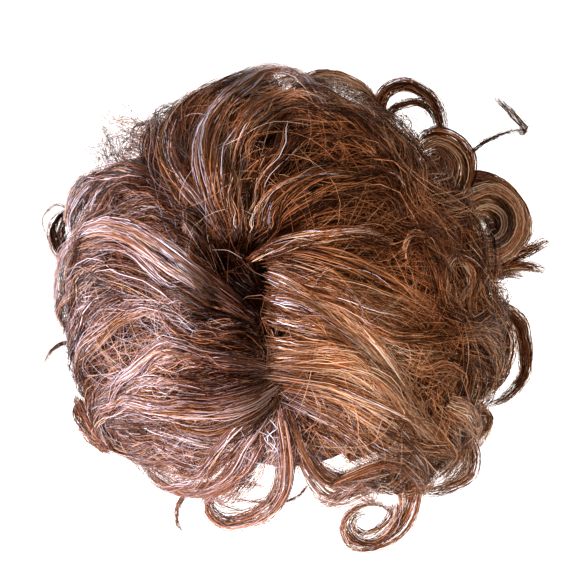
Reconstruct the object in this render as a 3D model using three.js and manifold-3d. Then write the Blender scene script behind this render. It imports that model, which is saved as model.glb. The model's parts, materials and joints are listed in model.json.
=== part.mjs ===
import * as THREE from "three";
import { mergeVertices } from "three/addons/utils/BufferGeometryUtils.js";
import Module from "manifold-3d";

// A curly copper-brown wig in millimetres, +Z up, front towards -Y, +X to the right seen from above.
// The origin is the inside of the cap's crown, where the wig sits on the head that carries it.

const wasm = await Module();
wasm.setup();

// Driving sizes of the cap, a thin net dome
const CAP_HALF_WIDTH = 78;
const CAP_HALF_LENGTH = 97;
const CAP_DEPTH = 110;
const CAP_WALL = 1.5;
const CAP_SPOKES = 32;
const CAP_ROWS = 7;

// The cap's lower edge, by the angle from the middle of the front, the same left and right
const CAP_EDGE = [
  { angle: 0, height: -62 },
  { angle: 35, height: -66 },
  { angle: 62, height: -86 },
  { angle: 80, height: -118 },
  { angle: 98, height: -100 },
  { angle: 122, height: -132 },
  { angle: 150, height: -148 },
  { angle: 180, height: -152 },
];

// Driving sizes of the hair's outer form, a dome that is shorter and shallower over the brow. Depths go from
// the front's to the sides' between two angles from the middle of the front.
const HAIR_TOP = 26;
const HAIR_DEPTH = { front: 104, sides: 158 };
const HAIR_UNDERSIDE = { front: -76, sides: -84 };
const FRONT_ANGLES = { start: 25, end: 90 };
const HAIR_HALF_WIDTH = 131;
const HAIR_HALF_BACK = 134;
const HAIR_HALF_FRONT = 116;
const RIM_RATIO = 0.985;

// How the top locks are filled, from the parting to their hanging ends
const CAP_CLEARANCE = 2.5;
const LOCK_GAP = 1.6;
const CUT_MARGIN = 1;
const ROOT_FILL = 0.2;
const ROOT_SHARE = 0.3;
const LOCK_BULGE = 5;
const LOCK_RIPPLE = { height: 2.5, turns: 1.5 };
const HANG_INSET = 0.12;
const INSET_START = 0.55;
const HANG_TUCK = 0.03;
const LOCK_STATIONS = [0, 0.12, 0.25, 0.4, 0.55, 0.7, 0.85, 1];
const LOCK_ACROSS = 4;
const HANG_STATIONS = [
  { share: 0.45, thick: 0.9, wide: 0.96 },
  { share: 0.8, thick: 0.65, wide: 0.8 },
  { share: 1, thick: 0.3, wide: 0.5 },
];

// The lines between neighbouring locks, seen from above, in order round the head. Each starts beside the
// parting and sweeps out to the rim. The lock lies between its line and the next, and hangs below the rim.
const LOCK_COLUMNS = ["lock", "tone", "root", "lead", "sweep", "tip", "hang"];
const LOCK_ROWS = [
  ["fringe_left_inner", "brown", [-4, -52], [-6, -72], [-14, -90], [-32, -108], 30],
  ["fringe_left_outer", "rose", [-6, -51], [-20, -70], [-44, -86], [-72, -98], 36],
  ["copper_wave_left", "copper", [-8, -46], [-28, -56], [-62, -66], [-104, -70], 44],
  ["temple_wave_left", "rose", [-11, -38], [-40, -44], [-74, -46], [-112, -50], 46],
  ["side_wave_left", "brown", [-14, -25], [-44, -24], [-82, -26], [-121, -34], 48],
  ["inner_wave_left", "dark", [-17, -15], [-47, -2], [-86, 4], [-126, -6], 48],
  ["big_wave_left", "rose", [-20, -4], [-44, 14], [-80, 32], [-122, 22], 46],
  ["back_left_low", "brown", [-23, 4], [-46, 26], [-82, 48], [-118, 48], 46],
  ["back_left_fan", "brown", [-28, 14], [-50, 44], [-78, 64], [-108, 72], 44],
  ["back_wave_outer", "copper", [-29, 19], [-47, 58], [-68, 82], [-90, 96], 46],
  ["back_wave_mid", "brown", [-27, 24], [-42, 70], [-46, 100], [-44, 122], 48],
  ["back_wave_inner", "copper", [-24, 27], [-28, 74], [-18, 106], [-4, 126], 46],
  ["back_right_fan", "brown", [-20, 28], [-12, 72], [12, 102], [32, 118], 38],
  ["back_right_lock", "copper", [-16, 26], [6, 64], [36, 86], [58, 98], 34],
  ["side_right_back", "brown", [-14, 22], [20, 50], [52, 64], [80, 74], 34],
  ["side_right_mid", "brown", [-12, 16], [26, 32], [68, 40], [102, 46], 40],
  ["copper_wave_right", "copper", [-11, 4], [30, 12], [78, 10], [120, 10], 46],
  ["side_right_front", "copper", [-9, -10], [30, -8], [76, -24], [122, -34], 46],
  ["temple_right", "brown", [-5, -26], [32, -30], [72, -52], [106, -66], 44],
  ["fringe_right_outer", "copper", [0, -42], [30, -52], [56, -76], [78, -94], 36],
  ["fringe_right_inner", "brown", [1, -50], [16, -66], [32, -86], [46, -106], 30],
  ["fringe_centre", "dark", [-1, -53], [3, -72], [8, -90], [10, -110], 28],
];

// Free curls round the rim: arcs about a centre seen from above, from a start angle through a sweep, that
// shrink and sink as they go. Half sizes are of the hair band, across the arc and up.
const CURL_COLUMNS = [
  "curl", "tone", "centreX", "centreY", "height", "radiusX", "radiusY", "start", "sweep", "shrink", "drop",
  "halfBand", "halfUp",
];
const CURL_ROWS = [
  ["ring_back", "dark", 68, 107, -98, 15, 15, 215, -340, 0.25, 14, 3, 5],
  ["roll_back_right", "brown", 94, 78, -92, 17, 17, 145, -280, 0.3, 14, 4, 7],
  ["roll_right", "copper", 113, 46, -114, 21, 21, 140, -330, 0.4, 10, 4, 8],
  ["curl_back", "brown", 26, 93, -118, 34, 34, 100, -95, 0.05, 8, 2.5, 4],
  ["tips_right", "copper", 118, 62, -98, 42, 42, -100, 54, -0.05, -4, 3, 4],
  ["loop_right", "dark", 114, -31, -100, 21, 31, 105, -215, 0.1, 16, 3, 5],
  ["loop_right_low", "copper", 93, -98, -84, 12, 16, 70, -190, 0.1, 12, 3, 4],
  ["ring_front", "copper", 52, -119, -74, 23, 21, 150, -430, 0.42, 16, 3, 5],
  ["loop_front_left", "brown", -24, -119, -74, 20, 12.5, 35, -310, 0.15, 12, 2.5, 4],
  ["loop_small_left", "brown", -77, -101, -72, 8, 8, 60, -250, 0.2, 8, 2, 3],
  ["flick_front_left", "dark", -48, -118, -82, 14, 17, 95, 150, 0, 8, 1.5, 2.5],
  ["flick_left_low", "brown", -110, -54, -102, 15, 16, -40, -125, 0.05, 6, 2.5, 3.5],
  ["flick_left", "dark", -122, -42, -104, 18, 17, 55, 115, 0, 6, 1.5, 2.5],
  ["loop_left_back", "dark", -128, 45, -106, 10, 12, -60, -300, 0.2, 12, 2, 3],
];
const CURL_STEP = 24;
const CURL_SIDES = 6;
const CURL_TIP = 0.35;

// Under locks, side by side from temple to temple round the nape. Each leaves the cap behind the top locks,
// fills out below them and narrows to its end. The back ones are thinner, to hang inside the top locks.
const UNDER_COUNT = 13;
const UNDER_FIRST_ANGLE = 56;
const UNDER_ROOT = -100;
const UNDER_ENDS = [-198, -212, -190, -206];
const UNDER_GAP = 1.4;
const UNDER_ACROSS = 3;
const UNDER_BACK_SHARE = 0.25;
const UNDER_SWAY = { angle: 4, turns: 1.25 };
const UNDER_RIPPLE = { depth: 2.5, turns: 2, step: 2.1 };
const UNDER_STATIONS = [
  { share: 0, thick: 8, wide: 1 },
  { share: 0.15, thick: 16, wide: 1 },
  { share: 0.3, thick: 26, wide: 1 },
  { share: 0.46, thick: 30, wide: 1 },
  { share: 0.6, thick: 29, wide: 0.98 },
  { share: 0.74, thick: 25, wide: 0.92 },
  { share: 0.88, thick: 18, wide: 0.76 },
  { share: 1, thick: 8, wide: 0.4 },
];

const TONES = {
  net: { color: 0x1d120d, roughness: 0.9 },
  dark: { color: 0x4a2616, roughness: 0.45 },
  brown: { color: 0x6e3f28, roughness: 0.42 },
  copper: { color: 0x935030, roughness: 0.4 },
  rose: { color: 0x84574a, roughness: 0.4 },
};

function namedRows(columns, rows) {
  return rows.map((row) => Object.fromEntries(columns.map((column, i) => [column, row[i]])));
}

function smoothstep(value) {
  const share = THREE.MathUtils.clamp(value, 0, 1);
  return share * share * (3 - 2 * share);
}

// A closed solid through matching loops of points, with both ends filled by fans about an end point.
// Each four-sided face is split from the higher corner of its first loop, so that facing walls match.
function loftGeometry(loops, firstEnd, lastEnd) {
  const sides = loops[0].length;
  const points = [...loops.flat(), firstEnd, lastEnd];
  const first = points.length - 2;
  const last = points.length - 1;
  const index = [];
  for (let i = 0; i < sides; i += 1) {
    const next = (i + 1) % sides;
    for (let row = 0; row < loops.length - 1; row += 1) {
      const [a, b] = [row * sides + i, row * sides + next];
      const [c, d] = [b + sides, a + sides];
      const fromFirst = points[a].z >= points[b].z;
      index.push(...(fromFirst ? [a, b, c, a, c, d] : [a, b, d, b, c, d]));
    }
    const end = (loops.length - 1) * sides;
    index.push(first, next, i, last, end + i, end + next);
  }
  const geometry = new THREE.BufferGeometry().setFromPoints(points);
  geometry.setIndex(signedVolume(points, index) > 0 ? index : index.reverse());
  geometry.computeVertexNormals();
  return geometry;
}

function signedVolume(points, index) {
  let volume = 0;
  for (let i = 0; i < index.length; i += 3) {
    const [a, b, c] = [points[index[i]], points[index[i + 1]], points[index[i + 2]]];
    volume += a.dot(b.clone().cross(c)) / 6;
  }
  return volume;
}

function middle(loop) {
  const sum = loop.reduce((total, point) => total.add(point), new THREE.Vector3());
  return sum.divideScalar(loop.length);
}

// The cap, a shell whose lower edge dips at the ear tabs and the nape

function capEdge(angle) {
  const turn = Math.abs(THREE.MathUtils.euclideanModulo(angle + 180, 360) - 180);
  const after = Math.max(1, CAP_EDGE.findIndex((row) => row.angle >= turn));
  const [low, high] = [CAP_EDGE[after - 1], CAP_EDGE[after]];
  const share = (turn - low.angle) / (high.angle - low.angle);
  return THREE.MathUtils.lerp(low.height, high.height, smoothstep(share));
}

function capPoint(angle, share, grow) {
  const turn = THREE.MathUtils.degToRad(angle);
  const slope = Math.acos((capEdge(angle) + CAP_DEPTH) / CAP_DEPTH) * share;
  const x = (CAP_HALF_WIDTH + grow) * Math.sin(slope) * Math.sin(turn);
  const y = -(CAP_HALF_LENGTH + grow) * Math.sin(slope) * Math.cos(turn);
  return new THREE.Vector3(x, y, (CAP_DEPTH + grow) * Math.cos(slope) - CAP_DEPTH);
}

function capGeometry() {
  const ring = (row, grow) => Array.from({ length: CAP_SPOKES }, (_, i) => (
    capPoint((360 * i) / CAP_SPOKES, row / CAP_ROWS, grow)
  ));
  const rows = Array.from({ length: CAP_ROWS }, (_, i) => i + 1);
  const outer = rows.map((row) => ring(row, CAP_WALL));
  const inner = rows.toReversed().map((row) => ring(row, 0));
  return loftGeometry([...outer, ...inner], capPoint(0, 0, CAP_WALL), capPoint(0, 0, 0));
}

// The top locks, slabs between the cap and the hair's dome that end in hanging tips

function hairRatio(x, y) {
  return Math.hypot(x / HAIR_HALF_WIDTH, y / (y > 0 ? HAIR_HALF_BACK : HAIR_HALF_FRONT));
}

function sideShare(x, y) {
  const angle = THREE.MathUtils.radToDeg(Math.atan2(Math.abs(x), -y));
  return smoothstep((angle - FRONT_ANGLES.start) / (FRONT_ANGLES.end - FRONT_ANGLES.start));
}

function domeHeight(x, y) {
  const ratio = Math.min(hairRatio(x, y), RIM_RATIO);
  const depth = THREE.MathUtils.lerp(HAIR_DEPTH.front, HAIR_DEPTH.sides, sideShare(x, y));
  return HAIR_TOP - depth * (1 - Math.sqrt(1 - ratio * ratio));
}

function floorHeight(x, y) {
  const grow = CAP_WALL + CAP_CLEARANCE;
  const ratio = Math.hypot(x / (CAP_HALF_WIDTH + grow), y / (CAP_HALF_LENGTH + grow));
  const rise = (CAP_DEPTH + grow) * Math.sqrt(Math.max(0, 1 - ratio * ratio));
  const underside = THREE.MathUtils.lerp(HAIR_UNDERSIDE.front, HAIR_UNDERSIDE.sides, sideShare(x, y));
  return Math.max(rise - CAP_DEPTH, underside);
}

function lineCurve(line) {
  const places = [line.root, line.lead, line.sweep, line.tip];
  const points = places.map(([x, y]) => new THREE.Vector3(x, y, 0));
  return new THREE.CatmullRomCurve3(points, false, "catmullrom");
}

function insetShare(ratio) {
  return 1 - HANG_INSET * smoothstep((ratio - INSET_START) / (1 - INSET_START));
}

// One point of a lock's upper and under side, at a share along it and a share across it
function lockPair(start, end, along, across, grow, phase) {
  const width = start.distanceTo(end);
  const edge = (LOCK_GAP / 2 - grow) / width;
  const place = start.clone().lerp(end, edge + (1 - 2 * edge) * across);
  const fill = ROOT_FILL + (1 - ROOT_FILL) * smoothstep(along / ROOT_SHARE);
  const arch = 1 - (2 * across - 1) ** 2;
  const ripple = LOCK_RIPPLE.height * Math.sin(2 * Math.PI * LOCK_RIPPLE.turns * along + phase);
  const floor = floorHeight(place.x, place.y);
  const dome = domeHeight(place.x, place.y) + (LOCK_BULGE + ripple) * arch;
  const reach = place.length();
  const inset = insetShare(hairRatio(place.x, place.y));
  const under = place.clone().multiplyScalar(inset - grow / reach);
  under.z = floorHeight(under.x, under.y) - grow;
  place.multiplyScalar(1 + grow / reach);
  place.z = floor + (dome - floor) * fill + grow;
  return { upper: place, under };
}

function hangingPair(pair, row, hang, grow) {
  const tipHeight = pair.upper.z - hang - 2 * grow;
  const upper = pair.upper.clone().multiplyScalar(1 - HANG_TUCK * row.share);
  upper.z = THREE.MathUtils.lerp(pair.upper.z, tipHeight, row.share);
  const under = upper.clone().multiplyScalar(1 - HANG_INSET * row.thick - (2 * grow) / upper.length());
  under.z = THREE.MathUtils.lerp(pair.under.z, tipHeight, row.share);
  return { upper, under };
}

function lockGeometry(line, next, order, grow) {
  const curves = [lineCurve(line), lineCurve(next)];
  const shares = Array.from({ length: LOCK_ACROSS + 1 }, (_, i) => i / LOCK_ACROSS);
  const loopOf = (pairs) => [...pairs.map((p) => p.upper), ...pairs.toReversed().map((p) => p.under)];
  const pairsAt = (along, wide) => {
    const [start, end] = curves.map((curve) => curve.getPoint(along));
    return shares.map((share) => lockPair(start, end, along, 0.5 + (share - 0.5) * wide, grow, order));
  };
  const loops = LOCK_STATIONS.map((along) => loopOf(pairsAt(along, 1)));
  for (const row of HANG_STATIONS) {
    loops.push(loopOf(pairsAt(1, row.wide).map((pair) => hangingPair(pair, row, line.hang, grow))));
  }
  return loftGeometry(loops, middle(loops[0]), middle(loops.at(-1)));
}

// The free curls, bands of hair along flat spirals, cut clear of the top locks and the under locks

function curlGeometry(curl) {
  const steps = Math.ceil(Math.abs(curl.sweep) / CURL_STEP) + 2;
  const loops = [];
  for (let i = 0; i <= steps; i += 1) {
    const share = i / steps;
    const turn = THREE.MathUtils.degToRad(curl.start + curl.sweep * share);
    const size = 1 - curl.shrink * share;
    const taper = CURL_TIP + (1 - CURL_TIP) * Math.sin(Math.PI * share);
    const out = new THREE.Vector3(Math.cos(turn), Math.sin(turn), 0);
    const centre = new THREE.Vector3(
      curl.centreX + curl.radiusX * size * out.x,
      curl.centreY + curl.radiusY * size * out.y,
      curl.height - curl.drop * share,
    );
    loops.push(Array.from({ length: CURL_SIDES }, (_, side) => {
      const round = (2 * Math.PI * side) / CURL_SIDES;
      const point = centre.clone().addScaledVector(out, curl.halfBand * taper * Math.cos(round));
      point.z += curl.halfUp * taper * Math.sin(round);
      return point;
    }));
  }
  return loftGeometry(loops, middle(loops[0]), middle(loops.at(-1)));
}

function toSolid(geometry) {
  const bare = new THREE.BufferGeometry();
  bare.setAttribute("position", geometry.getAttribute("position"));
  bare.setIndex(geometry.getIndex());
  const merged = mergeVertices(bare);
  const vertProperties = new Float32Array(merged.getAttribute("position").array);
  const triVerts = new Uint32Array(merged.getIndex().array);
  return new wasm.Manifold(new wasm.Mesh({ numProp: 3, vertProperties, triVerts }));
}

function fromSolid(solid) {
  const { vertProperties, triVerts } = solid.getMesh();
  const geometry = new THREE.BufferGeometry();
  geometry.setAttribute("position", new THREE.BufferAttribute(vertProperties, 3));
  geometry.setIndex(new THREE.BufferAttribute(triVerts, 1));
  geometry.computeVertexNormals();
  return geometry;
}

function cutClear(geometry, cutters) {
  const rest = cutters.reduce((solid, cutter) => solid.subtract(cutter), toSolid(geometry));
  const pieces = rest.decompose().toSorted((a, b) => b.volume() - a.volume());
  return fromSolid(pieces[0]);
}

// The under locks, slabs round the cap that sway together as they hang

function underPoint(angle, off, z) {
  const turn = THREE.MathUtils.degToRad(angle);
  const clear = CAP_WALL + CAP_CLEARANCE;
  const x = (CAP_HALF_WIDTH + clear + off) * Math.sin(turn);
  const y = -(CAP_HALF_LENGTH + clear + UNDER_BACK_SHARE * off) * Math.cos(turn);
  return new THREE.Vector3(x, y, z);
}

function underGeometry(order, grow) {
  const pitch = (360 - 2 * UNDER_FIRST_ANGLE) / UNDER_COUNT;
  const gapAngle = THREE.MathUtils.radToDeg((UNDER_GAP - 2 * grow) / CAP_HALF_WIDTH);
  const end = UNDER_ENDS[order % UNDER_ENDS.length];
  const shares = Array.from({ length: UNDER_ACROSS + 1 }, (_, i) => i / UNDER_ACROSS - 0.5);
  const loops = UNDER_STATIONS.map((row) => {
    const z = THREE.MathUtils.lerp(UNDER_ROOT, end, row.share);
    const drop = (UNDER_ROOT - z) / (UNDER_ROOT - Math.min(...UNDER_ENDS));
    const sway = UNDER_SWAY.angle * Math.sin(2 * Math.PI * UNDER_SWAY.turns * drop);
    const centre = UNDER_FIRST_ANGLE + pitch * (order + 0.5) + sway;
    const angles = shares.map((share) => centre + (pitch - gapAngle) * row.wide * share);
    const wave = Math.sin(2 * Math.PI * UNDER_RIPPLE.turns * row.share + UNDER_RIPPLE.step * order);
    const thick = row.thick + UNDER_RIPPLE.depth * wave * row.share;
    const outer = angles.map((angle) => underPoint(angle, thick + grow, z));
    return [...outer, ...angles.toReversed().map((angle) => underPoint(angle, -grow, z))];
  });
  return loftGeometry(loops, middle(loops[0]), middle(loops.at(-1)));
}

// The whole wig

function named(name, geometry, tone) {
  const mesh = new THREE.Mesh(geometry, new THREE.MeshStandardMaterial({ ...TONES[tone], metalness: 0 }));
  mesh.name = name;
  return mesh;
}

const locks = namedRows(LOCK_COLUMNS, LOCK_ROWS);
const curls = namedRows(CURL_COLUMNS, CURL_ROWS);
const nextLine = (order) => locks[(order + 1) % locks.length];
const unders = Array.from({ length: UNDER_COUNT }, (_, order) => order);
const cutters = [
  ...locks.map((line, order) => lockGeometry(line, nextLine(order), order, CUT_MARGIN)),
  ...unders.map((order) => underGeometry(order, CUT_MARGIN)),
].map(toSolid);

const wig = new THREE.Group();
wig.name = "curly_wig";
wig.add(named("cap", capGeometry(), "net"));
locks.forEach((line, order) => {
  wig.add(named(line.lock, lockGeometry(line, nextLine(order), order, 0), line.tone));
});
curls.forEach((curl) => {
  wig.add(named(curl.curl, cutClear(curlGeometry(curl), cutters), curl.tone));
});
unders.forEach((order) => {
  const number = String(order + 1).padStart(2, "0");
  wig.add(named(`under_lock_${number}`, underGeometry(order, 0), order % 2 ? "copper" : "brown"));
});

export default wig;
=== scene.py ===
import json
import math

import bpy
import numpy as np
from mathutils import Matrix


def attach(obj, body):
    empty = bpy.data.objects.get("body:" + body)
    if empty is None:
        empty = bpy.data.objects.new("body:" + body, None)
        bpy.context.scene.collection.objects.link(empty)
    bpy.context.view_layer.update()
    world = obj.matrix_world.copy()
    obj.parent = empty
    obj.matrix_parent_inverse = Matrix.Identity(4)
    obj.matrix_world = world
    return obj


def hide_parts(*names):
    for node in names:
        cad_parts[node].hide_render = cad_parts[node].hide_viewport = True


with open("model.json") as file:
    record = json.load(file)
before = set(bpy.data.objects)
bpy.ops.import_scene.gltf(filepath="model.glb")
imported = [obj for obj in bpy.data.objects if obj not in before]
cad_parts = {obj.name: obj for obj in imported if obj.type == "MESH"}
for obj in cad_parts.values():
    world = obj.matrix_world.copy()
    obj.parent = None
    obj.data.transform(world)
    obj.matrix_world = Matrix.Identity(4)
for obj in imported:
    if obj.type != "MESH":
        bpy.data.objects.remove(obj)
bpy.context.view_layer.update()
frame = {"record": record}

# Lengths are in millimetres until a mesh is made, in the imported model's own frame
MM = 0.001
SEED = 20

# The cap and the hair's outer form
CAP_HALF_WIDTH, CAP_HALF_LENGTH, CAP_DEPTH, CAP_WALL = 78.0, 97.0, 110.0, 1.5
CAP_EDGE_ANGLES = [0, 35, 62, 80, 98, 122, 150, 180]
CAP_EDGE_HEIGHTS = [-62, -66, -86, -118, -100, -132, -148, -152]
HAIR_TOP = 26.0
FRONT_DEPTH, SIDE_DEPTH = 104.0, 158.0
FRONT_UNDERSIDE, SIDE_UNDERSIDE = -76.0, -84.0
FRONT_ANGLE_START, FRONT_ANGLE_END = 25.0, 90.0
HAIR_HALF_WIDTH, HAIR_HALF_BACK, HAIR_HALF_FRONT = 131.0, 134.0, 116.0
RIM_RATIO = 0.985
HAIR_CLEARANCE = 4.0
PARTING = np.array([[-24.0, 20.0], [-13.0, -10.0], [-2.0, -51.0]])
PARTING_WIDTH = 20.0
PARTING_FILL = 0.72
WHORL = np.array([-27.0, 10.0])
WHORL_HOLLOW = 10.0
WHORL_SLOPE = 16.0
WHORL_FILL = 0.25
WAVE_HEIGHT = 3.0
WAVE_LENGTH = 50.0
WAVE_START = 30.0
# What makes the waves uneven round the whorl: amount, bends a turn and where they start
WAVE_BENDS = ((0.5, 2, 0.6), (0.3, 5, 2.0))
SETTLE_STEPS = 24
SPAN_STEPS = 12

# The photograph's frame: the camera looks straight down on the crown
PHOTO_MIDDLE = 290.0
CAMERA_X, CAMERA_Y, CAMERA_HEIGHT = 1.1, 5.7, 620.0
RIM_HEIGHT = -105.0
RIM_MM_PER_PIXEL = 0.57
PHOTO_SIDE = 580.0

# Lines between neighbouring top locks, seen from above, in order round the head: four places from the root
# to the rim, and how far the hair hangs there. A lock lies between its own line and the next.
LINE_ROWS = [
    ("fringe_left_inner", (-4, -52), (-6, -72), (-14, -90), (-32, -108), 30),
    ("fringe_left_outer", (-6, -51), (-20, -70), (-44, -86), (-72, -98), 36),
    ("copper_wave_left", (-8, -46), (-28, -56), (-62, -66), (-104, -70), 44),
    ("temple_wave_left", (-11, -38), (-40, -44), (-74, -46), (-112, -50), 46),
    ("side_wave_left", (-14, -25), (-44, -24), (-82, -26), (-121, -34), 48),
    ("inner_wave_left", (-17, -15), (-47, -2), (-86, 4), (-126, -6), 48),
    ("big_wave_left", (-20, -4), (-44, 14), (-80, 32), (-122, 22), 46),
    ("back_left_low", (-23, 4), (-46, 26), (-82, 48), (-118, 48), 46),
    ("back_left_fan", (-28, 14), (-50, 44), (-78, 64), (-108, 72), 44),
    ("back_wave_outer", (-29, 19), (-47, 58), (-68, 82), (-90, 96), 46),
    ("back_wave_mid", (-27, 24), (-42, 70), (-46, 100), (-44, 122), 48),
    ("back_wave_inner", (-24, 27), (-28, 74), (-18, 106), (-4, 126), 46),
    ("back_right_fan", (-20, 28), (-12, 72), (12, 102), (32, 118), 38),
    ("back_right_lock", (-16, 26), (6, 64), (36, 86), (58, 98), 34),
    ("side_right_back", (-14, 22), (20, 50), (52, 64), (80, 74), 34),
    ("side_right_mid", (-12, 16), (26, 32), (68, 40), (102, 46), 40),
    ("copper_wave_right", (-11, 4), (30, 12), (78, 10), (120, 10), 46),
    ("side_right_front", (-9, -10), (30, -8), (76, -24), (122, -34), 46),
    ("temple_right", (-5, -26), (32, -30), (72, -52), (106, -66), 44),
    ("fringe_right_outer", (0, -42), (30, -52), (56, -76), (78, -94), 36),
    ("fringe_right_inner", (1, -50), (16, -66), (32, -86), (46, -106), 30),
    ("fringe_centre", (-1, -53), (3, -72), (8, -90), (10, -110), 28),
]
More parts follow.
